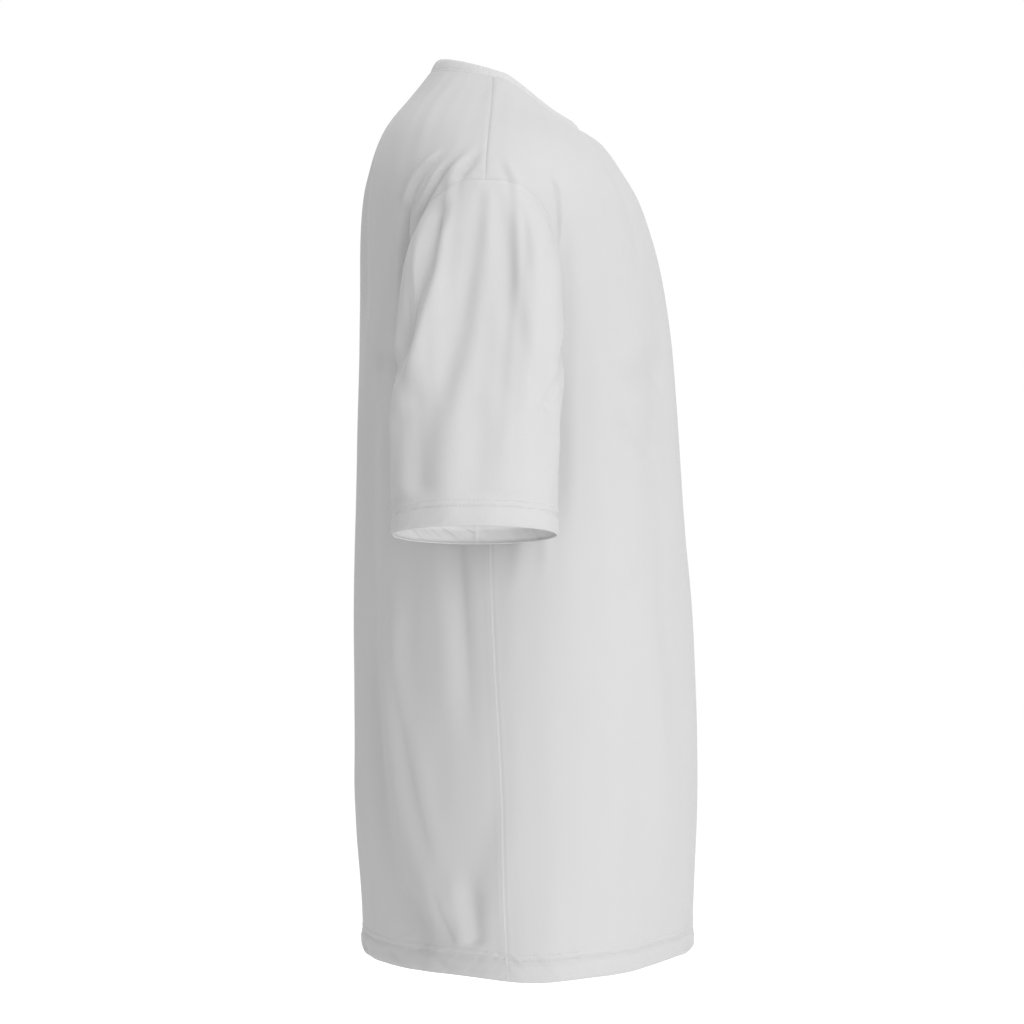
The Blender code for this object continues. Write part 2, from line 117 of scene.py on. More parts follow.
def through(known: np.ndarray, values: np.ndarray, wanted: np.ndarray) -> np.ndarray:
    """Reads a natural cubic spline.

    Args:
        known: places at which the spline's values are known, rising.
        values: its values there.
        wanted: places to read.

    Returns:
        The spline's values at the wanted places.
    """
    steps, count = np.diff(known), len(known)
    system, rhs = np.eye(count), np.zeros(count)
    for i in range(1, count - 1):
        system[i, i - 1 : i + 2] = steps[i - 1], 2 * (steps[i - 1] + steps[i]), steps[i]
        rhs[i] = 6 * np.diff(np.diff(values[i - 1 : i + 2]) / steps[i - 1 : i + 1])[0]
    bends = np.linalg.solve(system, rhs)
    wanted = np.clip(wanted, known[0], known[-1])
    i = np.clip(np.searchsorted(known, wanted, side="right") - 1, 0, count - 2)
    step = steps[i]
    low, high = (known[i + 1] - wanted) / step, (wanted - known[i]) / step
    return (
        low * values[i]
        + high * values[i + 1]
        + ((low**3 - low) * bends[i] + (high**3 - high) * bends[i + 1]) * step**2 / 6
    )


def ramp(low: float, high: float, x: np.ndarray) -> np.ndarray:
    """Rises smoothly from 0 to 1.

    Args:
        low: where the rise begins.
        high: where it ends.
        x: places to read.

    Returns:
        0 below low, 1 above high and a smooth step between.
    """
    x = np.clip((x - low) / (high - low), 0, 1)
    return x * x * (3 - 2 * x)


def bell(x: np.ndarray, middle: float, width: float) -> np.ndarray:
    """A smooth bump of height 1.

    Args:
        x: places to read.
        middle: where the bump stands.
        width: its half-width.

    Returns:
        The bump's height.
    """
    return np.exp(-(((x - middle) / width) ** 2))


def unit(vectors: np.ndarray) -> np.ndarray:
    """Vectors scaled to length 1."""
    return vectors / np.maximum(np.linalg.norm(vectors, axis=-1, keepdims=True), TINY)


def turned(directions: np.ndarray, outward: np.ndarray) -> np.ndarray:
    """Directions, turned round where they point away from others."""
    return np.where(np.sum(directions * outward, axis=-1, keepdims=True) < 0, -directions, directions)


def wrapped(angle: np.ndarray) -> np.ndarray:
    """Angles past a half turn, counted from the other way round."""
    return np.where(angle > math.pi, angle - 2 * math.pi, angle)


def lengths_along(points: np.ndarray, axis: int) -> np.ndarray:
    """Measures a grid's lines.

    Args:
        points: grid of points.
        axis: 0 to measure up the columns, 1 to measure along the rows.

    Returns:
        The length from each line's first point.
    """
    steps = np.linalg.norm(np.diff(points, axis=axis), axis=-1)
    start = np.zeros_like(np.take(steps, [0], axis=axis))
    return np.concatenate([start, np.cumsum(steps, axis=axis)], axis=axis)


def nearest_on(line: np.ndarray, points: np.ndarray) -> tuple[np.ndarray, np.ndarray]:
    """Finds how far points lie from a line.

    Args:
        line: the line's points.
        points: grid of points.

    Returns:
        For each point, its distance from the line and the length along the line of the nearest place.
    """
    length = lengths_along(line[:, None], 0)[:, 0]
    marks = np.linspace(0, length[-1], int(length[-1] / LINE_STEP) + 2)
    fine = np.stack([np.interp(marks, length, line[:, i]) for i in range(3)], axis=-1)
    tree = KDTree(len(fine))
    for i, point in enumerate(fine):
        tree.insert(point, i)
    tree.balance()
    distance, place = np.empty(points.shape[:2]), np.empty(points.shape[:2])
    for at in np.ndindex(*points.shape[:2]):
        _, i, distance[at] = tree.find(points[at])
        place[at] = marks[i]
    return distance, place


# ---------------------------------------------------------------------------------------------------
# Folds and sewing
# ---------------------------------------------------------------------------------------------------


@dataclass(frozen=True)
class Fold:
    """A soft fold laid along a curve of the side view (y, z) or of the front view (x, z), in mm.

    height is negative for a valley. lips are the shares of it that the cloth turns the other way to each
    side of the line, sharp is how much of it lies in a crease a third as wide, and ends are the shares of
    it at the line's start and end.
    """

    line: tuple[tuple[float, float], ...]
    width: tuple[float, float]
    height: float
    lips: tuple[float, float] = (0.25, 0.25)
    sharp: float = 0.0
    fade: tuple[float, float] = (0.25, 0.25)
    ends: tuple[float, float] = (1.0, 1.0)

    STEPS = 26
    REACH = 3.4
    LIP_PLACE = 1.75
    LIP_WIDTH = 0.95
    CREASE = 0.34

    def shape(self, side: np.ndarray) -> np.ndarray:
        """The fold's cross-section.

        Args:
            side: places across the fold, in its half-widths, positive toward smaller y or x where the line
                runs down.

        Returns:
            The share of the fold's height there.
        """
        trough = (1 - self.sharp) * bell(side, 0, 1) + self.sharp * bell(side, 0, self.CREASE)
        for share, place in zip(self.lips, (-self.LIP_PLACE, self.LIP_PLACE)):
            trough -= share * bell(side, place, self.LIP_WIDTH)
        return trough

    def lift(self, across: np.ndarray, up: np.ndarray) -> np.ndarray:
        """Reads the fold's height.

        Args:
            across: y or x of the points in the fold's view.
            up: their z.

        Returns:
            How far the fold lifts each of them.
        """
        known, t = np.linspace(0, 1, len(self.line)), np.linspace(0, 1, self.STEPS + 1)
        line = np.array(self.line, float)
        a, z = through(known, line[:, 0], t), through(known, line[:, 1], t)
        reach = self.REACH * max(self.width)
        near = (across > a.min() - reach) & (across < a.max() + reach)
        near &= (up > z.min() - reach) & (up < z.max() + reach)
        total = np.zeros_like(across)
        if not near.any():
            return total
        pa, pz = across[near], up[near]
        best, side, place = np.full(pa.shape, FAR), np.zeros_like(pa), np.zeros_like(pa)
        for i in range(self.STEPS):
            da, dz = a[i + 1] - a[i], z[i + 1] - z[i]
            share = np.clip(((pa - a[i]) * da + (pz - z[i]) * dz) / (da * da + dz * dz), 0, 1)
            oa, oz = pa - a[i] - share * da, pz - z[i] - share * dz
            distance = np.hypot(oa, oz)
            nearer = distance < best
            best = np.where(nearer, distance, best)
            side = np.where(nearer, np.sign(oa * dz - oz * da) * distance, side)
            place = np.where(nearer, t[i] + share / self.STEPS, place)
        width = self.width[0] + (self.width[1] - self.width[0]) * place
        height = self.height * (self.ends[0] + (self.ends[1] - self.ends[0]) * place)
        fade = ramp(0, self.fade[0], place) * ramp(0, self.fade[1], 1 - place)
        total[near] = height * fade * self.shape(side / width)
        return total


@dataclass(frozen=True)
class Wall(Fold):
    """One wall of a fold, laid where the cloth is steepest.

    The cloth is raised by height on the side that faces the front when the line is drawn downward, and
    sunk as far on the other, each times its share in lips.
    """

    lips: tuple[float, float] = (1.0, 1.0)

    def shape(self, side: np.ndarray) -> np.ndarray:
        """The wall's cross-section, a trough and a crest side by side.

        Args:
            side: places across the fold, in its half-widths.

        Returns:
            The share of the fold's height there.
        """
        crease = side / self.CREASE
        swing = (1 - self.sharp) * side * np.exp((1 - side**2) / 2)
        swing += self.sharp * crease * np.exp((1 - crease**2) / 2)
        low, high = self.lips
        return swing * (low + (high - low) * ramp(-1, 1, side))


@dataclass(frozen=True)
class Tuck(Fold):
    """A fold that drops sharply behind its line and eases out of the drop.

    The drop lies toward larger y or x where the line is drawn downward. The second of lips is the share of
    the height by which the cloth swells along the line.
    """

    EDGE = 0.1
    EASE = 0.9
    CREST = 1.2

    def shape(self, side: np.ndarray) -> np.ndarray:
        """The tuck's cross-section.

        Args:
            side: places across the fold, in its half-widths.

        Returns:
            The share of the fold's height there.
        """
        behind = (np.hypot(side, self.EDGE) - side) / 2
        drop = np.where(behind < 1, 1 - (1 - behind) ** 2, bell(behind, 1, self.EASE))
        return drop - self.lips[1] * bell(side, 0, self.CREST)


def lift_of(folds: dict[str, Fold], across: np.ndarray, up: np.ndarray) -> np.ndarray:
    """Adds up folds.

    Args:
        folds: the folds of one view, by name.
        across: y or x of the points in that view.
        up: their z.

    Returns:
        The sum of the folds' heights at each point.
    """
    total = np.zeros_like(across)
    for fold in folds.values():
        total += fold.lift(across, up)
    return total


@dataclass(frozen=True)
class Bump:
    """A smooth rise or dip beside a seam: its height, its distance from the seam and its half-width."""

    height: float
    place: float
    width: float

    def lift(self, distance: np.ndarray) -> np.ndarray:
        """The lift of points at a distance from the seam."""
        return self.height * bell(distance, self.place, self.width)


@dataclass(frozen=True)
class Sewing:
    """How thread shapes the cloth beside it, in mm, and where a painted highlight runs along it."""

    # a seam that lies sunk, and one whose folded edges stand up under the cloth
    sunk: Bump = Bump(-0.5, 0.0, 0.95)
    cord: Bump = Bump(0.42, 0.0, 0.8)
    # a seam whose one side lies over the other
    step: Bump = Bump(0.55, 0.0, 0.8)
    step_reach: float = 2.6
    step_foot: Bump = Bump(-0.2, 2.1, 0.9)
    swell: Bump = Bump(0.2, 3.4, 2.3)
    pucker: float = 0.2
    pucker_start: float = 2.5
    pucker_reach: float = 9.0
    # each wave: length, place
    pucker_waves: tuple[tuple[float, float], ...] = ((6.7, 0.3), (10.9, 2.1), (17.3, 4.4), (31.0, 1.2))
    hem_edge: Bump = Bump(-0.45, 0.0, 1.1)
    hem_swell: float = 0.7
    hem_swell_ends: tuple[float, float] = (4.0, 6.0)
    hem_dips: tuple[Bump, Bump] = (Bump(-0.7, 17.5, 2.4), Bump(-0.08, 22.5, 1.2))
    hem_ridge: Bump = Bump(0.5, 20.6, 1.9)
    hem_twist: float = 0.9
    hem_pucker: float = 0.3
    hem_pucker_ends: tuple[float, float] = (5.0, 10.0)
    # painted highlight along seams and hem rows: its half-width by a seam, its strength on the hem's rows
    # and its half-width there
    highlight_width: float = 1.1
    row_highlight: float = 0.7
    row_highlight_width: float = 0.8

    @property
    def hem_rows(self) -> tuple[float, ...]:
        """Distances of the hem's rows of stitches from its edge."""
        return tuple(dip.place for dip in self.hem_dips)

    def waves(self, along: np.ndarray) -> np.ndarray:
        """Small uneven waves along a seam, about -1 to 1."""
        total = sum(np.sin(2 * math.pi * along / wave + start) for wave, start in self.pucker_waves)
        return total / math.sqrt(len(self.pucker_waves) * 2)

    def edge(self, distance: np.ndarray, over: bool) -> np.ndarray:
        """Lift beside a seam whose one side lies over the other.

        Args:
            distance: how far each point lies from the seam.
            over: whether the points are on the side that lies over.

        Returns:
            The lift of each point.
        """
        if over:
            return self.step.height * np.exp(-distance / self.step_reach)
        return self.step.lift(distance) + self.step_foot.lift(distance)

    def beside(self, distance: np.ndarray, along: np.ndarray) -> np.ndarray:
        """Swells and puckers the cloth next to a seam.

        Args:
            distance: how far each point lies from the seam.
            along: its place along the seam.

        Returns:
            The lift of each point.
        """
        reach = np.exp(-distance / self.pucker_reach) * ramp(0, self.pucker_start, distance)
        return self.swell.lift(distance) + self.pucker * self.waves(along) * reach

    def hem(self, distance: np.ndarray, along: np.ndarray) -> np.ndarray:
        """Shapes a turned-up hem with its two rows of stitches.

        Args:
            distance: how far each point lies from the hem's edge.
            along: its place round the hem.

        Returns:
            The lift of each point.
        """
        low, high = self.hem_rows
        rise, fall = self.hem_swell_ends
        lift = self.hem_edge.lift(distance)
        lift += self.hem_swell * ramp(0, rise, distance) * (1 - ramp(low - fall, low, distance))
        for bump in (*self.hem_dips, self.hem_ridge):
            lift += bump.lift(distance)
        twisted = along + self.hem_twist * distance
        rise, fall = self.hem_pucker_ends
        band = ramp(0, rise, distance) * (1 - ramp(low, high + fall, distance))
        return lift + self.hem_pucker * self.waves(twisted) * band

    def highlight_share(self, distance: np.ndarray) -> np.ndarray:
        """How much painted highlight the cloth takes at a distance from a seam."""
        return bell(distance, 0, self.highlight_width)

    def hem_highlight_share(self, climb: np.ndarray, share: float = 1.0) -> np.ndarray:
        """How much painted highlight the cloth takes by the hem's two rows.

        Args:
            climb: how far each point lies from the hem's edge.
            share: size of the hem against that of the body.

        Returns:
            0 for none of it, 1 for all.
        """
        rows = [bell(climb, row * share, self.row_highlight_width) for row in self.hem_rows]
        return self.row_highlight * np.maximum(*rows)


SEWING = Sewing()

RIGHT_SIDE_FOLDS: dict[str, Fold] = {
    "back_long_wall": Wall(
        ((100, -434), (98, -477), (96, -519), (92, -564), (87, -610), (80, -651), (69, -682), (54, -709),
         (38, -727)),
        (13, 15), 6.6, fade=(0.3, 0.22), ends=(0.9, 1.05),
    ),
    "back_second_wall": Wall(
        ((85, -408), (84, -459), (79, -508), (69, -558), (59, -606), (50, -643), (43, -670)),
        (5.5, 7), 1.5, sharp=0.1, fade=(0.2, 0.25), ends=(0.9, 1),
    ),
    "back_edge_ridge": Wall(
        ((111, -564), (106, -623), (98, -672), (90, -705), (84, -730)), (5, 5), -0.6, fade=(0.35, 0.1)
    ),
    "lobe_light_wall": Wall(
        ((30, -654), (25, -678), (21, -701), (17, -725)), (7, 6), -2, fade=(0.5, 0.08), ends=(1, 1.2)
    ),
    "lobe_dark_wall": Wall(
        ((-2, -594), (-1, -628), (2, -661), (5, -688), (9, -720)), (12, 11), 1.5, fade=(0.4, 0.3)
    ),
    "lobe_crease": Wall(((45, -674), (37, -701), (27, -726)), (3, 3), 0.8, sharp=0.2, fade=(0.4, 0.1)),
    "under_sleeve_wall": Wall(
        ((26, -375), (23, -416), (20, -473), (16, -530), (12, -586)),
        (4.5, 7), 0.75, sharp=0.15, fade=(0.1, 0.4), ends=(1, 0.6),
    ),
    "under_sleeve_light": Wall(
        ((40, -375), (36, -424), (30, -473), (26, -522), (24, -571)),
        (9, 11), -2.6, fade=(0.1, 0.4), ends=(1, 0.6),
    ),
    "under_sleeve_short": Wall(((-18, -374), (-17, -407), (-15, -440)), (5, 7), 0.8, fade=(0.1, 0.6)),
    "under_sleeve_front": Wall(((-40, -374), (-40, -404), (-38, -432)), (4, 5), 0.5, fade=(0.1, 0.6)),
    "side_front_wall": Wall(
        ((-44, -55), (-51, -73), (-57, -91), (-61, -118), (-62, -162), (-62, -227), (-61, -293),
         (-60, -350), (-56, -391), (-50, -448), (-46, -513)),
        (6, 8), 0.85, fade=(0.12, 0.4), ends=(0.8, 1.1),
    ),
    "front_armhole_crease": Wall(
        ((-48, -92), (-52, -102), (-54, -112), (-55, -124), (-55, -143), (-53, -164)),
        (2.2, 2.4), 1.5, sharp=0.3, fade=(0.2, 0.35), ends=(1, 0.9),
    ),
    "shoulder_front_wall": Wall(
        ((-10, -80), (-12, -91), (-16, -101), (-17, -109)), (3, 3.4), 1.2, sharp=0.1, fade=(0.35, 0.1)
    ),
    "arc_outer": Fold(
        ((39, -70), (49, -80), (58, -89), (66, -100), (71, -113), (74, -126)),
        (2.6, 2.8), 3.2, lips=(0.2, 0.5), sharp=0.15, fade=(0.3, 0.2),
    ),
    "arc_second": Fold(
        ((34, -81), (44, -92), (51, -104), (58, -117), (63, -129)),
        (2.6, 2.6), 2.4, lips=(0.2, 0.5), sharp=0.1, fade=(0.3, 0.15),
    ),
    "arc_second_wall": Wall(
        ((22, -78), (32, -88), (40, -97), (46, -107), (53, -118), (59, -131)),
        (2.4, 2.8), 1.6, sharp=0.15, fade=(0.3, 0.22),
    ),
    "arc_inner": Fold(
        ((11, -69), (21, -81), (29, -92), (34, -102), (37, -111)),
        (4.2, 3.6), 2.4, lips=(0.3, 0.3), sharp=0.1, fade=(0.35, 0.3),
    ),
    "arc_inner_valley": Fold(
        ((6, -74), (16, -86), (23, -95), (29, -105)),
        (3.2, 3), -1.8, lips=(0.1, 0.1), sharp=0.1, fade=(0.35, 0.3),
    ),
    "armhole_back_gap": Fold(
        ((68, -110), (71, -124), (72, -144), (72, -166), (73, -189), (75, -213)),
        (3, 3.4), -5.5, lips=(0.15, 0.1), sharp=0.1, fade=(0.25, 0.35),
    ),
    "blade_valley": Fold(
        ((98, -158), (95, -206), (93, -274), (90, -341), (86, -408)),
        (13, 13), -1.6, lips=(0.2, 0.2), fade=(0.3, 0.4),
    ),
    "hem_tuck_back": Fold(
        ((90, -736), (84, -741), (77, -745)), (2.4, 2.4), -1.1, lips=(0.5, 0.4), sharp=0.2, fade=(0.3, 0.3)
    ),
    "hem_tuck_second": Fold(
        ((53, -734), (44, -739), (34, -745)), (2.8, 2.6), -1.4, lips=(0.5, 0.4), sharp=0.2, fade=(0.3, 0.3)
    ),
    "hem_tuck_third": Fold(
        ((76, -733), (67, -738), (56, -743)), (2.6, 2.4), -0.9, lips=(0.5, 0.4), sharp=0.1, fade=(0.3, 0.3)
    ),
    "hem_tuck_seam": Fold(
        ((-2, -730), (-10, -730), (-20, -731)), (2, 2), -1, lips=(0.5, 0.4), sharp=0.2, fade=(0.3, 0.4)
    ),
    "hem_tuck_seam_low": Fold(
        ((-14, -733), (-20, -736), (-29, -737)),
        (1.9, 1.9), -0.8, lips=(0.5, 0.4), sharp=0.1, fade=(0.3, 0.4),
    ),
}
LEFT_SIDE_FOLDS: dict[str, Fold] = {
    "back_ridge": Fold(
        ((96, -350), (92, -430), (82, -520), (66, -600), (50, -668), (34, -725)),
        (17, 11), 5.2, lips=(0, 0.3), sharp=0.1, fade=(0.3, 0.05),
    ),
    "hem_valley": Fold(
        ((34, -620), (24, -680), (19, -720), (20, -744)),
        (13, 10), -4.2, lips=(0, 0.25), sharp=0.1, fade=(0.35, 0.05),
    ),
    "under_sleeve_valley": Fold(((30, -345), (28, -450), (24, -600)), (12, 13), -3.6, lips=(0.35, 0.3)),
    "under_sleeve_second": Fold(((58, -380), (53, -460), (44, -560)), (10, 11), -1.8, lips=(0.3, 0.3)),
    "side_front_valley": Fold(
        ((-58, -200), (-66, -360), (-66, -500), (-58, -640)),
        (15, 16), -4.4, lips=(0.3, 0.25), fade=(0.3, 0.35),
    ),
    "front_armhole_crease": Fold(
        ((-46, -92), (-54, -110), (-57, -138), (-57, -168)),
        (5, 5), -2.8, lips=(0.3, 0.5), sharp=0.4, fade=(0.3, 0.3),
    ),
    "front_shoulder_drape": Fold(
        ((-42, -58), (-52, -84), (-60, -120), (-64, -190)), (10, 12), -2.2, lips=(0.3, 0.3)
    ),
    "shoulder_front_valley": Fold(
        ((-16, -78), (-20, -92), (-22, -106)), (5, 5.5), -1.8, lips=(0.35, 0.3), sharp=0.1, fade=(0.4, 0.1)
    ),
    "shoulder_outer_arc": Fold(
        ((42, -72), (57, -87), (67, -106), (72, -138)),
        (5.5, 6), 3.2, lips=(0.35, 0.45), sharp=0.2, fade=(0.3, 0.25),
    ),
    "shoulder_inner_arc": Fold(
        ((16, -69), (30, -82), (42, -99), (54, -124)),
        (5, 5), 3, lips=(0.35, 0.35), sharp=0.2, fade=(0.3, 0.2),
    ),
    "shoulder_seam_valley": Fold(
        ((9, -74), (20, -87), (27, -100)), (5, 5), -1.9, lips=(0.2, 0.2), sharp=0.1, fade=(0.4, 0.1)
    ),
    "blade_drape": Fold(((90, -160), (95, -260), (91, -390)), (16, 17), -2.8, lips=(0.3, 0.3)),
    "hip_soft": Fold(((66, -676), (60, -710), (56, -742)), (7, 7), -1.7, lips=(0.4, 0.3)),
    "hem_tuck_back": Fold(((46, -729), (40, -736), (32, -745)), (3.2, 3), -1.5, lips=(0.4, 0.3), sharp=0.2),
    "hem_tuck_seam": Fold(
        ((-3, -730), (-12, -731), (-20, -733)), (2.4, 2.4), -1.1, lips=(0.4, 0.4), sharp=0.2
    ),
}
FRONT_FOLDS: dict[str, Fold] = {
    "right_breast_drape": Fold(
        ((-96, -150), (-116, -300), (-118, -460), (-104, -640)), (22, 26), -3.2, lips=(0.4, 0.4)
    ),
    "left_breast_drape": Fold(
        ((88, -170), (110, -330), (120, -500), (124, -690)), (22, 28), -3.6, lips=(0.4, 0.4)
    ),
    "centre_drape": Fold(
        ((-18, -330), (-9, -460), (-10, -600), (-26, -740)),
        (20, 26), -2.8, lips=(0.4, 0.4), fade=(0.35, 0.05),
    ),
    "right_armpit_drag": Fold(((-166, -268), (-130, -250), (-88, -252)), (11, 14), -2.6, lips=(0.4, 0.3)),
    "left_armpit_drag": Fold(((166, -274), (128, -258), (82, -262)), (11, 15), -2.8, lips=(0.4, 0.3)),
    "right_armpit_low_drag": Fold(((-176, -300), (-150, -306), (-116, -330)), (9, 13), -2, lips=(0.4, 0.3)),
    "left_armpit_low_drag": Fold(((176, -306), (146, -318), (104, -352)), (9, 13), -1.9, lips=(0.4, 0.3)),
    "right_shoulder_pull": Fold(
        ((-120, -66), (-124, -110), (-118, -170)), (11, 15), -1.9, lips=(0.35, 0.35)
    ),
    "left_shoulder_pull": Fold(((126, -70), (132, -122), (124, -186)), (11, 15), -2.1, lips=(0.35, 0.35)),
    "neck_pull_right": Fold(((-52, -52), (-62, -84), (-66, -122)), (7, 12), -1.3, lips=(0.35, 0.35)),
    "neck_pull_left": Fold(((44, -56), (50, -92), (48, -136)), (7, 12), -1.2, lips=(0.35, 0.35)),
    "right_side_drape": Fold(
        ((-166, -400), (-160, -520), (-158, -700)), (13, 18), -2.4, lips=(0.4, 0.4), fade=(0.35, 0.1)
    ),
    "left_side_drape": Fold(
        ((172, -420), (160, -560), (168, -735)), (14, 18), -2.6, lips=(0.4, 0.4), fade=(0.35, 0.05)
    ),
    "right_hem_drape": Fold(
        ((-62, -560), (-58, -650), (-66, -748)), (14, 20), -2.4, lips=(0.4, 0.4), fade=(0.4, 0.02)
    ),
    "left_hem_drape": Fold(
        ((58, -600), (66, -680), (62, -748)), (13, 20), -2, lips=(0.4, 0.4), fade=(0.4, 0.02)
    ),
}
BACK_FOLDS: dict[str, Fold] = {
    "right_blade_drape": Fold(
        ((-104, -210), (-92, -360), (-98, -540), (-120, -700)), (22, 28), -4.4, lips=(0.4, 0.4)
    ),
    "left_blade_drape": Fold(
        ((98, -190), (86, -360), (86, -540), (96, -710)), (23, 28), -4.8, lips=(0.4, 0.4)
    ),
    "small_of_back": Fold(
        ((6, -360), (-8, -480), (-10, -620), (4, -742)), (22, 30), -3.6, lips=(0.4, 0.4), fade=(0.35, 0.03)
    ),
    "yoke_drape_right": Fold(((-60, -60), (-76, -120), (-84, -230)), (12, 17), -2.6, lips=(0.4, 0.35)),
    "yoke_drape_left": Fold(((62, -64), (74, -130), (78, -245)), (12, 17), -2.4, lips=(0.4, 0.35)),
    "right_armpit_drag": Fold(((-172, -250), (-140, -236), (-104, -244)), (10, 14), -2.8, lips=(0.4, 0.3)),
    "left_armpit_drag": Fold(((170, -256), (138, -240), (98, -252)), (10, 14), -2.6, lips=(0.4, 0.3)),
    "right_low_drag": Fold(((-176, -296), (-146, -310), (-122, -350)), (9, 13), -2, lips=(0.4, 0.3)),
    "left_low_drag": Fold(((174, -302), (148, -318), (118, -362)), (9, 13), -2.2, lips=(0.4, 0.3)),
    "right_flank_drape": Fold(
        ((-150, -430), (-150, -560), (-158, -740)), (13, 19), -2.8, lips=(0.4, 0.4), fade=(0.35, 0.03)
    ),
    "left_flank_drape": Fold(
        ((154, -400), (144, -560), (150, -740)), (13, 19), -2.6, lips=(0.4, 0.4), fade=(0.35, 0.03)
    ),
    "right_hem_drape": Fold(
        ((-48, -600), (-56, -680), (-52, -748)), (13, 19), -2.2, lips=(0.4, 0.4), fade=(0.4, 0.02)
    ),
    "left_hem_drape": Fold(
        ((52, -570), (44, -660), (50, -748)), (13, 19), -2.4, lips=(0.4, 0.4), fade=(0.4, 0.02)
    ),
}
RIGHT_SLEEVE_OUTER: dict[str, Fold] = {
    "back_valley_wall": Tuck(
        ((30, -108), (32, -122), (36, -138), (40, -152), (45, -177), (52, -201), (60, -230), (67, -253),
         (73, -274)),
        (8, 19), -12, lips=(0, 0.1), fade=(0.26, 0.22), ends=(0.5, 1),
    ),
    "back_shade_wall": Wall(
        ((41, -156), (49, -180), (57, -203), (64, -229), (70, -251), (75, -270)),
        (6, 7), 2.6, fade=(0.3, 0.3),
    ),
    "middle_wall": Wall(
        ((5, -105), (6, -127), (8, -153), (13, -186), (17, -218), (24, -249), (34, -281), (42, -312),
         (48, -343), (52, -374), (56, -405)),
        (4, 14), 4.4, fade=(0.03, 0.34), ends=(0.18, 1),
    ),
    "front_wall": Wall(
        ((-7, -106), (-11, -123), (-15, -152), (-20, -185), (-26, -217), (-33, -249), (-37, -280),
         (-41, -312)),
        (4.5, 6.5), 0.5, sharp=0.05, fade=(0.05, 0.35), ends=(1, 0.8),
    ),
    "front_light_wall": Wall(
        ((-4, -119), (-5, -153), (-7, -186), (-9, -218), (-12, -249)), (6, 8), -1.2, fade=(0.2, 0.35)
    ),
    "short_front_wall": Wall(
        ((-22, -112), (-26, -128), (-30, -150), (-32, -175), (-35, -202)),
        (3, 4), 0.55, sharp=0.1, fade=(0.15, 0.4), ends=(1, 0.7),
    ),
    "front_edge_wall": Wall(
        ((-52, -146), (-49, -171), (-48, -204), (-46, -236), (-44, -267), (-45, -288)),
        (4, 5.5), 1.2, fade=(0.3, 0.2),
    ),
    "front_edge_notch": Wall(
        ((-42, -282), (-45, -294), (-48, -308), (-52, -325)),
        (3, 4.5), 1.1, sharp=0.2, fade=(0.1, 0.4), ends=(1, 0.7),
    ),
    "front_edge_pinch": Fold(
        ((-56, -255), (-49, -268), (-43, -282)),
        (3.2, 2.6), -1.5, lips=(0.3, 0.3), sharp=0.2, fade=(0.3, 0.15),
    ),
    "low_middle_wall": Wall(((7, -265), (3, -292), (0, -320), (-2, -357)), (9, 12), 0.9, fade=(0.35, 0.05)),
    "back_edge_light": Wall(((65, -258), (68, -288), (68, -319), (66, -359)), (8, 9), -3, fade=(0.3, 0.1)),
    "cap_back_wall": Wall(
        ((43, -124), (43, -134), (43, -144), (46, -157)), (2.2, 3.2), 1.2, sharp=0.1, fade=(0.35, 0.4)
    ),
    "cap_back_ridge": Fold(
        ((44, -124), (51, -140), (57, -162), (63, -188)), (5, 6.5), 1, lips=(0, 0), fade=(0.2, 0.4)
    ),
}
LEFT_SLEEVE_OUTER: dict[str, Fold] = {
    "long_back_valley": Fold(
        ((25, -110), (34, -146), (46, -196), (60, -250), (71, -300)),
        (7, 9), -6, lips=(0.3, 0.3), sharp=0.25, fade=(0.12, 0.3),
    ),
    "middle_valley": Fold(
        ((1, -111), (5, -155), (11, -205), (20, -270), (33, -352)),
        (8, 11), -3.8, lips=(0.3, 0.3), sharp=0.05, fade=(0.15, 0.15),
    ),
    "front_valley": Fold(
        ((-9, -112), (-18, -150), (-27, -190), (-37, -252)),
        (6, 8), -4, lips=(0.35, 0.3), sharp=0.1, fade=(0.12, 0.4),
    ),
    "cap_crease": Fold(((14, -113), (17, -132), (18, -150)), (3.6, 4.5), -1.5, lips=(0.3, 0.3)),
    "front_edge_crease": Fold(((-60, -248), (-49, -271), (-33, -289)), (7, 8), -3.4, lips=(0.4, 0.35)),
    "low_front_soft": Fold(
        ((-8, -286), (-12, -330), (-10, -376)), (10, 11), -1.3, lips=(0.35, 0.35), fade=(0.4, 0.05)
    ),
    "low_back_soft": Fold(
        ((64, -326), (62, -352), (63, -382)), (7, 8), -1.5, lips=(0.35, 0.3), fade=(0.4, 0.05)
    ),
}
SLEEVE_FORWARD: dict[str, Fold] = {
    "armpit_drag": Fold(((214, -236), (240, -246), (276, -272)), (7, 10), -2.4, lips=(0.35, 0.3)),
    "armpit_low_drag": Fold(((216, -268), (242, -290), (268, -326)), (7, 10), -2.2, lips=(0.35, 0.3)),
    "front_drape": Fold(((284, -250), (290, -300), (288, -360)), (8, 11), -1.8, lips=(0.35, 0.35)),
}
SLEEVE_BACKWARD: dict[str, Fold] = {
    "armpit_drag": Fold(((214, -230), (242, -240), (278, -262)), (7, 10), -2.6, lips=(0.35, 0.3)),
    "armpit_low_drag": Fold(((216, -264), (240, -284), (262, -318)), (7, 10), -2, lips=(0.35, 0.3)),
    "back_drape": Fold(((280, -270), (282, -316), (276, -372)), (8, 11), -1.8, lips=(0.35, 0.35)),
}

# ---------------------------------------------------------------------------------------------------
# Forms
# ---------------------------------------------------------------------------------------------------

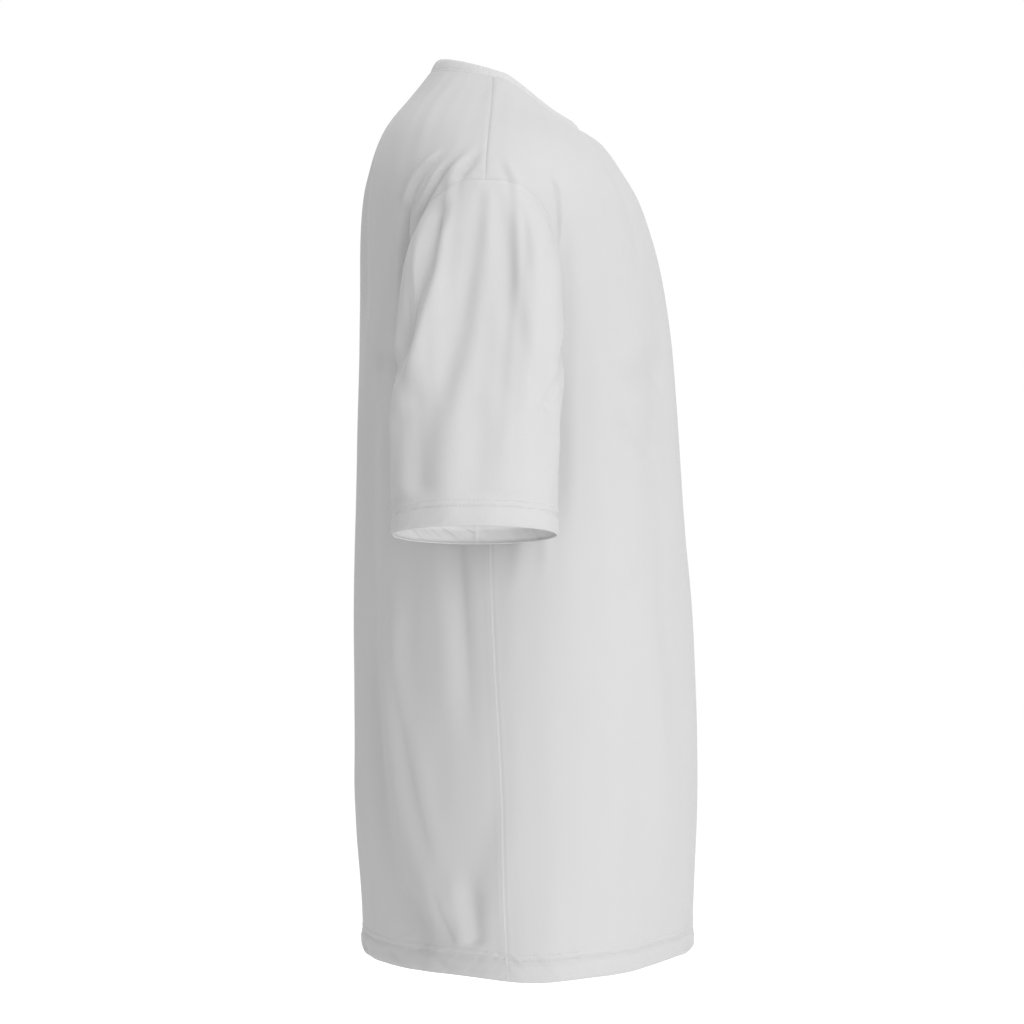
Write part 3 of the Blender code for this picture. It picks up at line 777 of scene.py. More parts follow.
SECTION_COLUMNS = (
    "run", "side_x", "side_z", "mid_y", "front_y", "front_z", "back_y", "back_z", "seam_y", "lean", "full"
)
SECTIONS: dict[str, tuple[float, ...]] = {
    "hem": (0.00, 214.5, -750.4, -30.5, -175.6, -750.4, 116.2, -750.4, -12.2, 0.0, -0.045),
    "above_hem": (0.40, 213.0, -710.0, -30.5, -177.8, -710.0, 117.2, -710.0, -10.0, 0.0, -0.032),
    "hip": (1.00, 210.0, -650.0, -29.5, -180.2, -650.0, 121.8, -650.0, -8.4, 0.0, -0.016),
    "low_waist": (2.00, 205.5, -550.0, -27.0, -179.8, -552.0, 122.2, -551.0, -4.4, 0.0, 0.0),
    "waist": (3.00, 201.5, -450.0, -24.0, -175.2, -456.0, 122.0, -453.0, 0.8, 0.0, 0.005),
    "ribs": (3.90, 200.0, -360.0, -21.0, -168.6, -372.0, 120.6, -366.0, 2.6, 0.0, 0.012),
    "armpit": (4.55, 200.0, -295.0, -17.0, -164.0, -312.0, 119.7, -302.0, 3.2, 0.0, 0.018),
    "low_armhole": (5.15, 207.0, -235.0, -10.0, -159.6, -244.0, 118.4, -232.0, 3.8, 0.0, 0.018),
    "mid_armhole": (5.70, 221.0, -180.0, -3.0, -151.8, -182.0, 117.2, -168.0, 4.4, 0.0, 0.012),
    "high_armhole": (6.15, 234.5, -135.0, 2.0, -141.8, -136.0, 116.2, -121.0, 4.8, 0.0, 0.0),
    "shoulder_tip": (6.50, 236.0, -101.0, 5.0, -130.0, -101.0, 112.4, -86.0, 5.0, 0.05, 0.0),
    "outer_shoulder": (6.93, 209.0, -62.0, 3.0, -115.6, -75.5, 103.2, -50.0, 3.0, 0.25, 0.0),
    "mid_shoulder": (7.36, 172.0, -38.0, 1.0, -104.6, -57.5, 91.6, -27.0, 1.2, 0.45, 0.0),
    "inner_shoulder": (7.82, 131.0, -18.0, -4.0, -92.6, -44.4, 76.0, -7.0, 0.4, 0.75, 0.0),
    "neckline": (8.25, 91.0, 1.0, -10.5, -79.2, -35.6, 56.4, 18.4, 0.0, 1.0, 0.0),
}
NECK_EDGE: dict[str, float] = {
    "side_x": 80.0, "side_z": 9.6, "mid_y": -9.3, "front_y": -69.6, "front_z": -23.4,
    "back_y": 50.4, "back_z": 30.2, "lean": 1.0, "full": 0.0,
}
# how far the hem rises, in mm, by angle from the centre front round each side
HEM_RISE: dict[Side, tuple[tuple[float, ...], tuple[float, ...]]] = {
    Side.RIGHT: (
        (0.0, 0.3, 0.54, 0.96, 1.24, 1.56, 1.8, 2.02, 2.17, 2.49, 3.1416),
        (0, 1.6, 3.0, 1.2, 1.4, 0, 2.0, 2.7, 1.9, 0, 0),
    ),
    Side.LEFT: (
        (0.0, 0.35, 0.62, 1.05, 1.38, 1.7, 2.1, 2.4, 2.75, 3.1416),
        (0, 1.2, 2.4, 1.5, 0.2, 1.2, 2.4, 1.2, 0.2, 0),
    ),
}
HEM_RISE_RUN = 0.9
# mm of cloth in one unit of run, near the neckline
RUN_LENGTH = 100.0
# how the sleeve leaves the armhole: turn round it, then its way out, ahead and up
SLEEVE_START: dict[str, tuple[float, ...]] = {
    "armpit": (0.00, 0.42, 0.00, -0.90),
    "low_front": (0.25, 0.80, 0.02, -0.58),
    "front": (0.50, 0.93, 0.06, -0.36),
    "high_front": (0.78, 0.82, 0.10, -0.56),
    "top": (1.00, 0.44, 0.00, -0.90),
    "high_back": (1.24, 0.72, -0.36, -0.58),
    "back": (1.50, 0.92, -0.12, -0.38),
    "low_back": (1.75, 0.80, -0.06, -0.60),
    "armpit_again": (2.00, 0.42, 0.00, -0.90),
}


def oval(angle: np.ndarray, shape: dict[str, np.ndarray | float]) -> np.ndarray:
    """Points of a section of the body.

    Args:
        angle: 0 at the centre front, a half turn at the centre back, positive to the wearer's left.
        shape: the section's sizes by column name.

    Returns:
        The points, in mm.
    """
    front_power, back_curve = 1.2, 0.1
    c = np.cos(angle)
    ahead, behind = np.maximum(c, 0), np.maximum(-c, 0)
    fuller = 1 + shape["full"] * np.sin(2 * angle) ** 2
    x = shape["side_x"] * np.sin(angle) * fuller
    y = shape["mid_y"] + fuller * (
        ahead * (shape["front_y"] - shape["mid_y"]) + behind * (shape["back_y"] - shape["mid_y"])
    )
    lean = shape["lean"]
    front_share = (1 - lean) * ahead**2 + lean * np.sin(math.pi / 2 * ahead**front_power)
    back_share = behind + (1 - lean + lean * back_curve) * (behind**2 - behind)
    z = (
        shape["side_z"]
        + front_share * (shape["front_z"] - shape["side_z"])
        + back_share * (shape["back_z"] - shape["side_z"])
    )
    return np.stack([x, y, z], axis=-1)


@dataclass(frozen=True)
class Drape:
    """Slow uneven waves that keep the cloth from lying perfectly smooth, in mm."""

    height: float = 0.35
    # each wave: length across, length up, place across, place up
    waves: tuple[tuple[float, float, float, float], ...] = (
        (61.0, 310.0, 0.4, 1.9),
        (43.0, 190.0, 2.7, 0.3),
        (97.0, 240.0, 5.1, 3.3),
        (29.0, 130.0, 1.2, 4.6),
    )

    def lift(self, across: np.ndarray, up: np.ndarray) -> np.ndarray:
        """Reads the waves.

        Args:
            across: lengths round the cloth.
            up: heights.

        Returns:
            The lift at each place.
        """
        total = np.zeros_like(across)
        for wide, tall, start, rise in self.waves:
            total += np.sin(2 * math.pi * across / wide + start + np.sin(2 * math.pi * up / tall + rise))
        return self.height * total / len(self.waves) ** 0.5


@dataclass
class BodyForm:
    """The shirt's body as one hollow form, read by angle round it and by run up it."""

    side_facing: tuple[float, float] = (0.12, 0.50)
    front_facing: tuple[float, float] = (0.25, 0.70)
    collar_calm: float = 0.15
    collar_share: float = 0.35
    armhole_front: float = 60.5
    armhole_back: float = 62.5
    armhole_power: float = 2.45
    steps: tuple[float, float] = (0.01, 0.02)
    rise: float = 0.6
    samples: int = 900
    drape: Drape = Drape()
    drape_radius: float = 160.0
    left_drape_shift: tuple[float, float] = (31.0, 57.0)
    known: dict[str, np.ndarray] = field(init=False)

    def __post_init__(self) -> None:
        """Turns the table of sections into columns."""
        rows = np.array(list(SECTIONS.values()), float)
        self.known = {name: rows[:, i] for i, name in enumerate(SECTION_COLUMNS)}
        self.armpit, self.tip, self.neck = (
            SECTIONS[name][0] for name in ("armpit", "shoulder_tip", "neckline")
        )

    def section(self, column: str, run: np.ndarray) -> np.ndarray:
        """A size of the section at a run."""
        return through(self.known["run"], self.known[column], run)

    def bare(self, angle: np.ndarray, run: np.ndarray) -> np.ndarray:
        """The form before its folds, in mm."""
        return oval(angle, {name: self.section(name, run) for name in NECK_EDGE})

    def normal(self, angle: np.ndarray, run: np.ndarray) -> np.ndarray:
        """Outward directions of the bare form.

        Args:
            angle: places round the body.
            run: places up it.

        Returns:
            Unit vectors that point out of the body.
        """
        da, db = self.steps
        round_it = self.bare(angle + da, run) - self.bare(angle - da, run)
        up_it = self.bare(angle, run + db) - self.bare(angle, run - db)
        n = unit(np.cross(round_it, up_it))
        out = np.stack([np.sin(angle), -np.cos(angle), np.full_like(angle, self.rise)], axis=-1)
        return turned(n, out)

    def folded(self, angle: np.ndarray, run: np.ndarray) -> tuple[np.ndarray, np.ndarray]:
        """The form with its folds.

        Args:
            angle: places round the body.
            run: places up it.

        Returns:
            The points in mm, and their outward directions.
        """
        form, n = self.bare(angle, run), self.normal(angle, run)
        x, y, z = np.moveaxis(form, -1, 0)
        right, left = ramp(*self.side_facing, -n[..., 0]), ramp(*self.side_facing, n[..., 0])
        lift = right * lift_of(RIGHT_SIDE_FOLDS, y, z) + left * lift_of(LEFT_SIDE_FOLDS, y, z)
        lift += ramp(*self.front_facing, -n[..., 1]) * lift_of(FRONT_FOLDS, x, z)
        lift += ramp(*self.front_facing, n[..., 1]) * lift_of(BACK_FOLDS, x, z)
        round_it = angle * self.drape_radius
        along, up = self.left_drape_shift
        lift += self.drape.lift(round_it, z) * np.cos(angle / 2) ** 2
        lift += self.drape.lift(round_it + along, z + up) * np.sin(angle / 2) ** 2
        calm = self.collar_share + (1 - self.collar_share) * ramp(0, self.collar_calm, self.neck - run)
        folded = form + n * (lift * calm)[..., None]
        for side, (angles, rises) in HEM_RISE.items():
            rise = through(np.array(angles), np.array(rises, float), np.maximum(side.value * angle, 0))
            folded[..., 2] += rise * (1 - ramp(0, HEM_RISE_RUN, run))
        return folded, n

    def angle_at(self, y: np.ndarray, run: np.ndarray) -> np.ndarray:
        """The angle at which a section passes a given depth."""
        mid = self.section("mid_y", run)
        ahead = (mid - y) / (mid - self.section("front_y", run))
        behind = (y - mid) / (self.section("back_y", run) - mid)
        return np.arccos(np.clip(np.where(y < mid, ahead, -behind), -1, 1))

    def armhole_run(self, turn: np.ndarray) -> np.ndarray:
        """Run of a place on the armhole, from 0 at the armpit to 1 at the shoulder tip."""
        c = np.cos(math.pi * turn)
        share = (1 - np.sign(c) * np.abs(c) ** (2 / self.armhole_power)) / 2
        return self.armpit + share * (self.tip - self.armpit)

    def edge_angle(self, run: np.ndarray, face: Face) -> np.ndarray:
        """Angle of a panel's side edge, the side or shoulder seam or the armhole.

        Args:
            run: places up the body.
            face: the panel.

        Returns:
            The edge's angle on the wearer's left; the right one is its negative.
        """
        reach = -self.armhole_front if face is Face.FRONT else self.armhole_back
        share = np.clip((run - self.armpit) / (self.tip - self.armpit), 0, 1)
        power = self.armhole_power
        bulge = np.maximum(1 - np.abs(2 * share - 1) ** power, 0) ** (1 / power)
        return self.angle_at(self.section("seam_y", run) + reach * bulge, run)

    def armhole(self, turn: np.ndarray, side: Side) -> tuple[np.ndarray, np.ndarray]:
        """Points of an armhole.

        Args:
            turn: 0 at the armpit, 1 at the tip over the front, 2 at the armpit again over the back.
            side: the wearer's side.

        Returns:
            The points in mm and the body's outward directions there.
        """
        place = np.where(turn <= 1, turn, 2 - turn)
        run = self.armhole_run(place)
        reach = np.where(turn <= 1, -self.armhole_front, self.armhole_back)
        reach = reach * np.abs(np.sin(math.pi * place)) ** (2 / self.armhole_power)
        angle = self.angle_at(self.section("seam_y", run) + reach, run)
        return self.folded(side.value * angle, run)

    def armhole_turns(self, count: int) -> np.ndarray:
        """Places at even lengths along half an armhole.

        Args:
            count: how many stretches.

        Returns:
            count + 1 turns from 0 to 1.
        """
        turn = np.linspace(0, 1, self.samples)
        line, _ = self.armhole(turn, Side.LEFT)
        length = lengths_along(line[:, None], 0)[:, 0]
        return np.interp(np.linspace(0, length[-1], count + 1), length, turn)


# ---------------------------------------------------------------------------------------------------
# Finishes
# ---------------------------------------------------------------------------------------------------


class NodeBoard:
    """A material's node tree with short ways to add to it."""

    def __init__(self, name: str) -> None:
        """Starts a material with an empty Principled shader.

        Args:
            name: the material's name.
        """
        self.material = bpy.data.materials.new(name)
        self.material.use_nodes = True
        self.tree = self.material.node_tree
        self.shader = self.tree.nodes["Principled BSDF"]

    def add(self, kind: str, **settings: object) -> bpy.types.Node:
        """Adds a node.

        Args:
            kind: the node's type.
            **settings: its properties.

        Returns:
            The node.
        """
        node = self.tree.nodes.new(kind)
        for key, value in settings.items():
            setattr(node, key, value)
        return node

    def feed(self, socket: bpy.types.NodeSocket, value: object) -> None:
        """Sets a socket to a number or links an output to it."""
        if isinstance(value, bpy.types.NodeSocket):
            self.tree.links.new(value, socket)
        else:
            socket.default_value = value

    def sum(self, how: str, a: object, b: object = 0.0) -> bpy.types.NodeSocket:
        """Adds a Math node.

        Args:
            how: its operation.
            a: its first value or output.
            b: its second.

        Returns:
            Its output.
        """
        node = self.add("ShaderNodeMath", operation=how)
        self.feed(node.inputs[0], a)
        self.feed(node.inputs[1], b)
        return node.outputs[0]

    def noise(self, place: bpy.types.NodeSocket, scale: float, detail: float = 2.0) -> bpy.types.NodeSocket:
        """Adds a Noise texture.

        Args:
            place: its coordinates.
            scale: its scale.
            detail: its detail.

        Returns:
            Its grey output.
        """
        node = self.add("ShaderNodeTexNoise")
        self.feed(node.inputs["Vector"], place)
        node.inputs["Scale"].default_value = scale
        node.inputs["Detail"].default_value = detail
        return node.outputs["Fac"]

    def blend(self, share: bpy.types.NodeSocket, low: object, high: object) -> bpy.types.NodeSocket:
        """Mixes two colours.

        Args:
            share: 0 for the first colour, 1 for the second.
            low: the first colour or output.
            high: the second.

        Returns:
            The mixed colour's output.
        """
        node = self.add("ShaderNodeMix", data_type="RGBA")
        self.feed(node.inputs["Factor"], share)
        colours = [socket for socket in node.inputs if socket.type == "RGBA"]
        self.feed(colours[0], low)
        self.feed(colours[1], high)
        return next(socket for socket in node.outputs if socket.type == "RGBA")

    def bump(self, height: bpy.types.NodeSocket, depth: float, under: object = None) -> bpy.types.NodeSocket:
        """Adds a Bump node.

        Args:
            height: the height to read.
            depth: what a height of 1 stands for, in metres.
            under: the normal of a bump below this one.

        Returns:
            Its normal.
        """
        node = self.add("ShaderNodeBump")
        node.inputs["Strength"].default_value = 1.0
        node.inputs["Distance"].default_value = depth
        self.feed(node.inputs["Height"], height)
        if under is not None:
            self.feed(node.inputs["Normal"], under)
        return node.outputs["Normal"]


@dataclass(frozen=True)
class KnitFinish:
    """What the shirt's knits share: a pale matt surface with hardly any sheen. Lengths are in metres."""

    name: str
    light: Grey
    dark: Grey
    roughness: float = 0.78
    gloss: float = 0.2
    sheen: float = 0.05
    sheen_roughness: float = 0.5

    def board(self) -> tuple[NodeBoard, bpy.types.NodeSocket, bpy.types.NodeSocket]:
        """Starts the knit's material.

        Returns:
            Its board, and the lengths round and up the cloth as outputs.
        """
        board = NodeBoard(self.name)
        board.shader.inputs["Roughness"].default_value = self.roughness
        board.shader.inputs["Specular IOR Level"].default_value = self.gloss
        board.shader.inputs["Sheen Weight"].default_value = self.sheen
        board.shader.inputs["Sheen Roughness"].default_value = self.sheen_roughness
        uv = board.add("ShaderNodeUVMap", uv_map="cloth")
        split = board.add("ShaderNodeSeparateXYZ")
        board.feed(split.inputs[0], uv.outputs["UV"])
        return board, split.outputs["X"], split.outputs["Y"]


@dataclass(frozen=True)
class JerseyFinish(KnitFinish):
    """Smooth polyester jersey: fine wales and loops, hardly any mottling, and a painted highlight along
    seams and hem rows.
    """

    name: str = "jersey_knit"
    light: Grey = grey(0.335)
    dark: Grey = grey(0.326)
    # painted highlight: the lighter colour laid on the cloth along seams and hem rows
    seam: Grey = grey(0.355)
    wale: float = 0.00095
    course: float = 0.00078
    loop_share: float = 0.35
    loop_depth: float = 0.00004
    fuzz_depth: float = 0.00004
    unevenness: float = 0.00008
    slow_scale: float = 9.0
    uneven_scale: float = 70.0
    fuzz_scale: float = 1400.0
    slow_share: float = 0.6

    def material(self) -> bpy.types.Material:
        """Builds the material.

        Returns:
            The jersey material, which reads the piece's UV map and its painted seam highlight attribute.
        """
        board, u, v = self.board()
        half = self.wale / 2
        wale = board.sum("DIVIDE", board.sum("PINGPONG", u, half), half)
        rounded = board.sum("SUBTRACT", 1.0, board.sum("MULTIPLY", wale, wale))
        course = board.sum("MULTIPLY", v, 2 * math.pi / self.course)
        phase = board.sum("ADD", course, board.sum("MULTIPLY", wale, math.pi))
        loops = board.sum("MULTIPLY", board.sum("SINE", phase), self.loop_share)
        place = board.add("ShaderNodeTexCoord").outputs["Object"]
        fine = board.noise(place, self.fuzz_scale)
        normal = board.bump(board.noise(place, self.uneven_scale), self.unevenness)
        normal = board.bump(board.sum("ADD", rounded, loops), self.loop_depth, normal)
        normal = board.bump(fine, self.fuzz_depth, normal)
        board.feed(board.shader.inputs["Normal"], normal)
        slow = board.sum("MULTIPLY", board.noise(place, self.slow_scale, 3.0), self.slow_share)
        share = board.sum("ADD", slow, board.sum("MULTIPLY", fine, 1 - self.slow_share))
        # painted highlight: the cloth is coloured lighter along seams and hem rows, by the piece's mask
        near = board.add("ShaderNodeAttribute", attribute_type="GEOMETRY", attribute_name="seam_highlight")
        colour = board.blend(near.outputs["Fac"], board.blend(share, self.dark, self.light), self.seam)
        board.feed(board.shader.inputs["Base Color"], colour)
        return board.material


# painted light: the back of the cloth is coloured much lighter than its face, standing in for the light that
# reaches the inside of the shirt through its thin cloth
JERSEY_BACK_PAINTED_LIGHT = JerseyFinish("jersey_back_painted_light", grey(0.55), grey(0.53), seam=grey(0.54))


@dataclass(frozen=True)
class RibFinish(KnitFinish):
    """Fine rib knit of the neck band: narrow upright ribs with loops across them, and painted shade
    darkening the grooves between the ribs.
    """

    name: str = "rib_knit"
    light: Grey = grey(0.40)
    dark: Grey = grey(0.375)
    rib: float = 0.00165
    course: float = 0.0008
    rib_depth: float = 0.00022
    loop_depth: float = 0.00006
    slow_scale: float = 14.0
    # share of the colour set by the rib's height: painted shade in its grooves
    rib_shade_share: float = 0.55

    def material(self) -> bpy.types.Material:
        """Builds the material.

        Returns:
            The rib material, which reads the piece's UV map.
        """
        board, u, v = self.board()
        wave = board.sum("SINE", board.sum("MULTIPLY", u, 2 * math.pi / self.rib))
        rib = board.sum("ADD", board.sum("MULTIPLY", wave, 0.5), 0.5)
        loops = board.sum("SINE", board.sum("MULTIPLY", v, 2 * math.pi / self.course))
        normal = board.bump(rib, self.rib_depth)
        normal = board.bump(loops, self.loop_depth, normal)
        board.feed(board.shader.inputs["Normal"], normal)
        place = board.add("ShaderNodeTexCoord").outputs["Object"]
        # painted shade: the rib's colour follows its height, darker in the grooves between the ribs than on
        # their crests
        slow = board.sum("MULTIPLY", board.noise(place, self.slow_scale, 3.0), 1 - self.rib_shade_share)
        share = board.sum("ADD", board.sum("MULTIPLY", rib, self.rib_shade_share), slow)
        board.feed(board.shader.inputs["Base Color"], board.blend(share, self.dark, self.light))
        return board.material


@dataclass(frozen=True)
class ThreadFinish:
    """Spun polyester thread of the stitches."""

    name: str = "sewing_thread"
    light: Grey = grey(0.36)
    dark: Grey = grey(0.33)
    roughness: float = 0.55
    sheen: float = 0.2
    ply_scale: float = 2600.0

    def material(self) -> bpy.types.Material:
        """Builds the material.

        Returns:
            The thread material.
        """
        board = NodeBoard(self.name)
        place = board.add("ShaderNodeTexCoord").outputs["Object"]
        ply = board.noise(place, self.ply_scale, 1.0)
        board.feed(board.shader.inputs["Base Color"], board.blend(ply, self.dark, self.light))
        board.shader.inputs["Roughness"].default_value = self.roughness
        board.shader.inputs["Sheen Weight"].default_value = self.sheen
        return board.material


@dataclass(frozen=True)
class FloorFinish:
    """Plain pale studio floor."""

    name: str = "pale_floor"
    light: Grey = grey(0.93)
    dark: Grey = grey(0.90)
    patch_scale: float = 0.6
    roughness: float = 0.9
    glow: float = 0.08

    def material(self) -> bpy.types.Material:
        """Builds the floor's material."""
        board = NodeBoard(self.name)
        place = board.add("ShaderNodeTexCoord").outputs["Object"]
        patches = board.noise(place, self.patch_scale)
        board.feed(board.shader.inputs["Base Color"], board.blend(patches, self.dark, self.light))
        board.shader.inputs["Roughness"].default_value = self.roughness
        board.shader.inputs["Emission Color"].default_value = grey(1.0)
        board.shader.inputs["Emission Strength"].default_value = self.glow
        return board.material


# ---------------------------------------------------------------------------------------------------
# Cloth pieces
# ---------------------------------------------------------------------------------------------------


def placed(name: str, data: bpy.types.ID) -> bpy.types.Object:
    """Makes an object of its data and links it into the scene."""
    thing = bpy.data.objects.new(name, data)
    bpy.context.scene.collection.objects.link(thing)
    return thing


@dataclass
class Cloth:
    """A piece of cloth: a grid of points, its place on the flat cloth and the painted highlight its seams
    lay on it.
    """

    name: str
    points: np.ndarray
    flat: np.ndarray
    seam_highlight: np.ndarray
    wall: float
    closed: bool = False
    join: float = 1e-6

    def build(self, material: bpy.types.Material, inside: bpy.types.Material) -> bpy.types.Object:
        """Makes the piece's mesh.

        Args:
            material: its finish outside.
            inside: its finish on the back of the cloth.

        Returns:
            The object, with a live Solidify for its thickness.
        """
        rows, columns = self.points.shape[0] - 1, self.points.shape[1] - 1
        net = bmesh.new()
        bmesh.ops.create_grid(net, x_segments=columns, y_segments=rows, size=0.5)
        mesh = bpy.data.meshes.new(self.name)
        net.to_mesh(mesh)
        net.free()
        places = np.empty(len(mesh.vertices) * 3)
        mesh.vertices.foreach_get("co", places)
        places = places.reshape(-1, 3)
        column = np.rint((places[:, 0] + 0.5) * columns).astype(int)
        row = np.rint((places[:, 1] + 0.5) * rows).astype(int)
        mesh.vertices.foreach_set("co", (self.points[row, column] * MM).ravel())
        corners = np.empty(len(mesh.loops), int)
        mesh.loops.foreach_get("vertex_index", corners)
        layer = mesh.uv_layers.new(name="cloth")
        layer.data.foreach_set("uv", (self.flat[row, column][corners] * MM).ravel())
        # the painted seam highlight mask, read by the jersey finish
        near = mesh.attributes.new("seam_highlight", "FLOAT", "POINT")
        near.data.foreach_set("value", self.seam_highlight[row, column].astype(np.float32))
        self.close_up(mesh)
        mesh.materials.append(material)
        mesh.materials.append(inside)
        piece = placed(self.name, mesh)
        thicken = piece.modifiers.new("Wall", "SOLIDIFY")
        thicken.thickness = self.wall * MM
        thicken.offset = -1.0
        thicken.use_even_offset = True
        thicken.use_quality_normals = True
        thicken.material_offset = 1
        return piece

    def close_up(self, mesh: bpy.types.Mesh) -> None:
        """Joins a tube's first and last column and turns the faces outward.

        Args:
            mesh: the piece's mesh.
        """
        net = bmesh.new()
        net.from_mesh(mesh)
        if self.closed:
            bmesh.ops.remove_doubles(net, verts=net.verts, dist=self.join)
        net.normal_update()
        middle = Vector(self.points.reshape(-1, 3).mean(axis=0) * MM)
        facing = sum(
            face.calc_area() * face.normal.dot(face.calc_center_median() - middle) for face in net.faces
        )
        if facing < 0:
            bmesh.ops.reverse_faces(net, faces=net.faces)
        for face in net.faces:
            face.smooth = True
        net.to_mesh(mesh)
        net.free()


def line_at(cloth: np.ndarray, climb: np.ndarray, distance: float) -> np.ndarray:
    """The line across a grid at a distance up each column.

    Args:
        cloth: the grid's points.
        climb: lengths up its columns.
        distance: how far up.

    Returns:
        One point for each column.
    """
    columns = range(cloth.shape[1])
    return np.array([[np.interp(distance, climb[:, j], cloth[:, j, i]) for i in range(3)] for j in columns])


def closed_normals(points: np.ndarray) -> np.ndarray:
    """Directions square to a grid whose last column is its first again.

    Args:
        points: the grid's points.

    Returns:
        Unit vectors, all to the same side.
    """
    along = np.gradient(points, axis=0)
    ring = np.concatenate([points[:, -2:-1], points, points[:, 1:2]], axis=1)
    return unit(np.cross(along, ring[:, 2:] - ring[:, :-2]))


@dataclass
class Lines:
    """Where the grids' lines lie: close together by seams and hems, wider apart between, in mm."""

    seam: tuple[float, ...] = (0.0, 0.45, 0.95, 1.5, 2.1, 2.9, 3.9, 5.2)
    hem: tuple[float, ...] = (
        0.0, 0.5, 1.1, 1.8, 2.8, 4.4, 6.8, 9.4, 12.0, 14.0, 15.4, 16.4, 17.1, 17.6, 18.0, 18.4, 18.9, 19.6,
        20.5, 21.4, 22.1, 22.6, 23.0, 23.4, 23.9, 24.7, 26.0, 27.6, 29.6, 32.2, 35.5,
    )
    panel_half: float = 250.0
    side_density: float = 1.25
    fan: float = 22.0
    fan_room: tuple[float, float] = (0.36, 0.32)
    right_columns: int = 104
    left_columns: int = 64
    hem_rows: int = 80
    armhole_rows: int = 96
    shoulder_rows: int = 44
    sleeve_rows: int = 100
    sleeve_half: int = 136
    samples: int = 400
    collar_rows: tuple[float, ...] = (
        0.0, 0.04, 0.08, 0.13, 0.19, 0.27, 0.38, 0.5, 0.62, 0.73, 0.82, 0.89, 0.94, 0.975, 1.0,
    )

    def shares(self) -> np.ndarray:
        """Places of a panel's columns, -1 at the right edge and 1 at the left."""
        close = 1 - np.array(self.seam) / self.panel_half

        def half(count: int) -> np.ndarray:
            return close[-1] * (1 - (1 - np.linspace(0, 1, count + 1)) ** self.side_density)

        right = np.concatenate([-close, -half(self.right_columns)[::-1][1:]])
        left = np.concatenate([half(self.left_columns)[1:-1], close[::-1]])
        return np.concatenate([right, left])

    def runs(self, form: BodyForm) -> np.ndarray:
        """Places of a panel's points up the body.

        Args:
            form: the body's form.

        Returns:
            A run for each row and column, the rows going from the hem to the neckline and fanning out from
            the armholes.
        """
        dense = np.linspace(0, form.armpit, self.samples)
        height = form.section("side_z", dense) - form.section("side_z", np.array([0.0]))
        top = height[-1]
        marks = np.concatenate([self.hem, np.linspace(self.hem[-1], top, self.hem_rows + 1)[1:]])
        low = np.interp(marks, height, dense)[:-1]
        middle = form.armhole_run(form.armhole_turns(self.armhole_rows))
        near_neck = form.neck - np.array(self.seam)[::-1] / RUN_LENGTH
        high = np.linspace(form.tip, near_neck[0], self.shoulder_rows + 1)[1:-1]
        edge = np.concatenate([low, middle, high, near_neck])
        below, above = self.fan_room
        low = low - below * (low / form.armpit) ** 3
        middle = np.linspace(form.armpit - below, form.tip + above, len(middle))
        high = high + above * (near_neck[0] - high) / (near_neck[0] - form.tip)
        centre = np.concatenate([low, middle, high, near_neck])
        inside = 1 - np.exp(-(1 - np.abs(self.shares())) * self.panel_half / self.fan)
        return edge[:, None] * (1 - inside) + centre[:, None] * inside


@dataclass
class Stitches:
    """Rows of thread laid along hems, each stitch a short five-sided rod."""

    name: str
    pitch: float = 3.1
    length: float = 2.45
    radius: float = 0.2
    proud: float = 0.03
    sides: int = 5
    net: bmesh.types.BMesh = field(default_factory=bmesh.new, init=False)

    def row(self, line: np.ndarray, out: np.ndarray) -> None:
        """Lays one row of stitches.

        Args:
            line: points on the cloth that the row follows, in mm.
            out: the cloth's outward directions there.
        """
        length = lengths_along(line[:, None], 0)[:, 0]
        count = int(length[-1] // self.pitch)
        first = (length[-1] - count * self.pitch) / 2
        for i in range(count):
            at = first + (i + 0.5) * self.pitch
            ends = np.array([at - self.length / 2, at + self.length / 2])
            a, b = (np.array([np.interp(end, length, line[:, k]) for k in range(3)]) for end in ends)
            square = unit(np.array([np.interp(at, length, out[:, k]) for k in range(3)]))
            way = unit(b - a)
            square = unit(square - way * np.dot(square, way))
            centre = (a + b) / 2 + square * self.proud
            radius, depth = self.radius * MM, np.linalg.norm(b - a) * MM
            made = bmesh.ops.create_cone(
                self.net, cap_ends=True, segments=self.sides, radius1=radius, radius2=radius, depth=depth
            )
            side = np.cross(square, way)
            for vertex in made["verts"]:
                x, y, z = vertex.co
                vertex.co = Vector(centre * MM + side * x + square * y + way * z)

    def build(self, material: bpy.types.Material) -> bpy.types.Object:
        """Makes the stitches' object.

        Args:
            material: the thread's finish.

        Returns:
            The object.
        """
        for face in self.net.faces:
            face.smooth = True
        mesh = bpy.data.meshes.new(self.name)
        self.net.to_mesh(mesh)
        self.net.free()
        mesh.materials.append(material)
        piece = placed(self.name, mesh)
        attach(piece, BODY)
        return piece


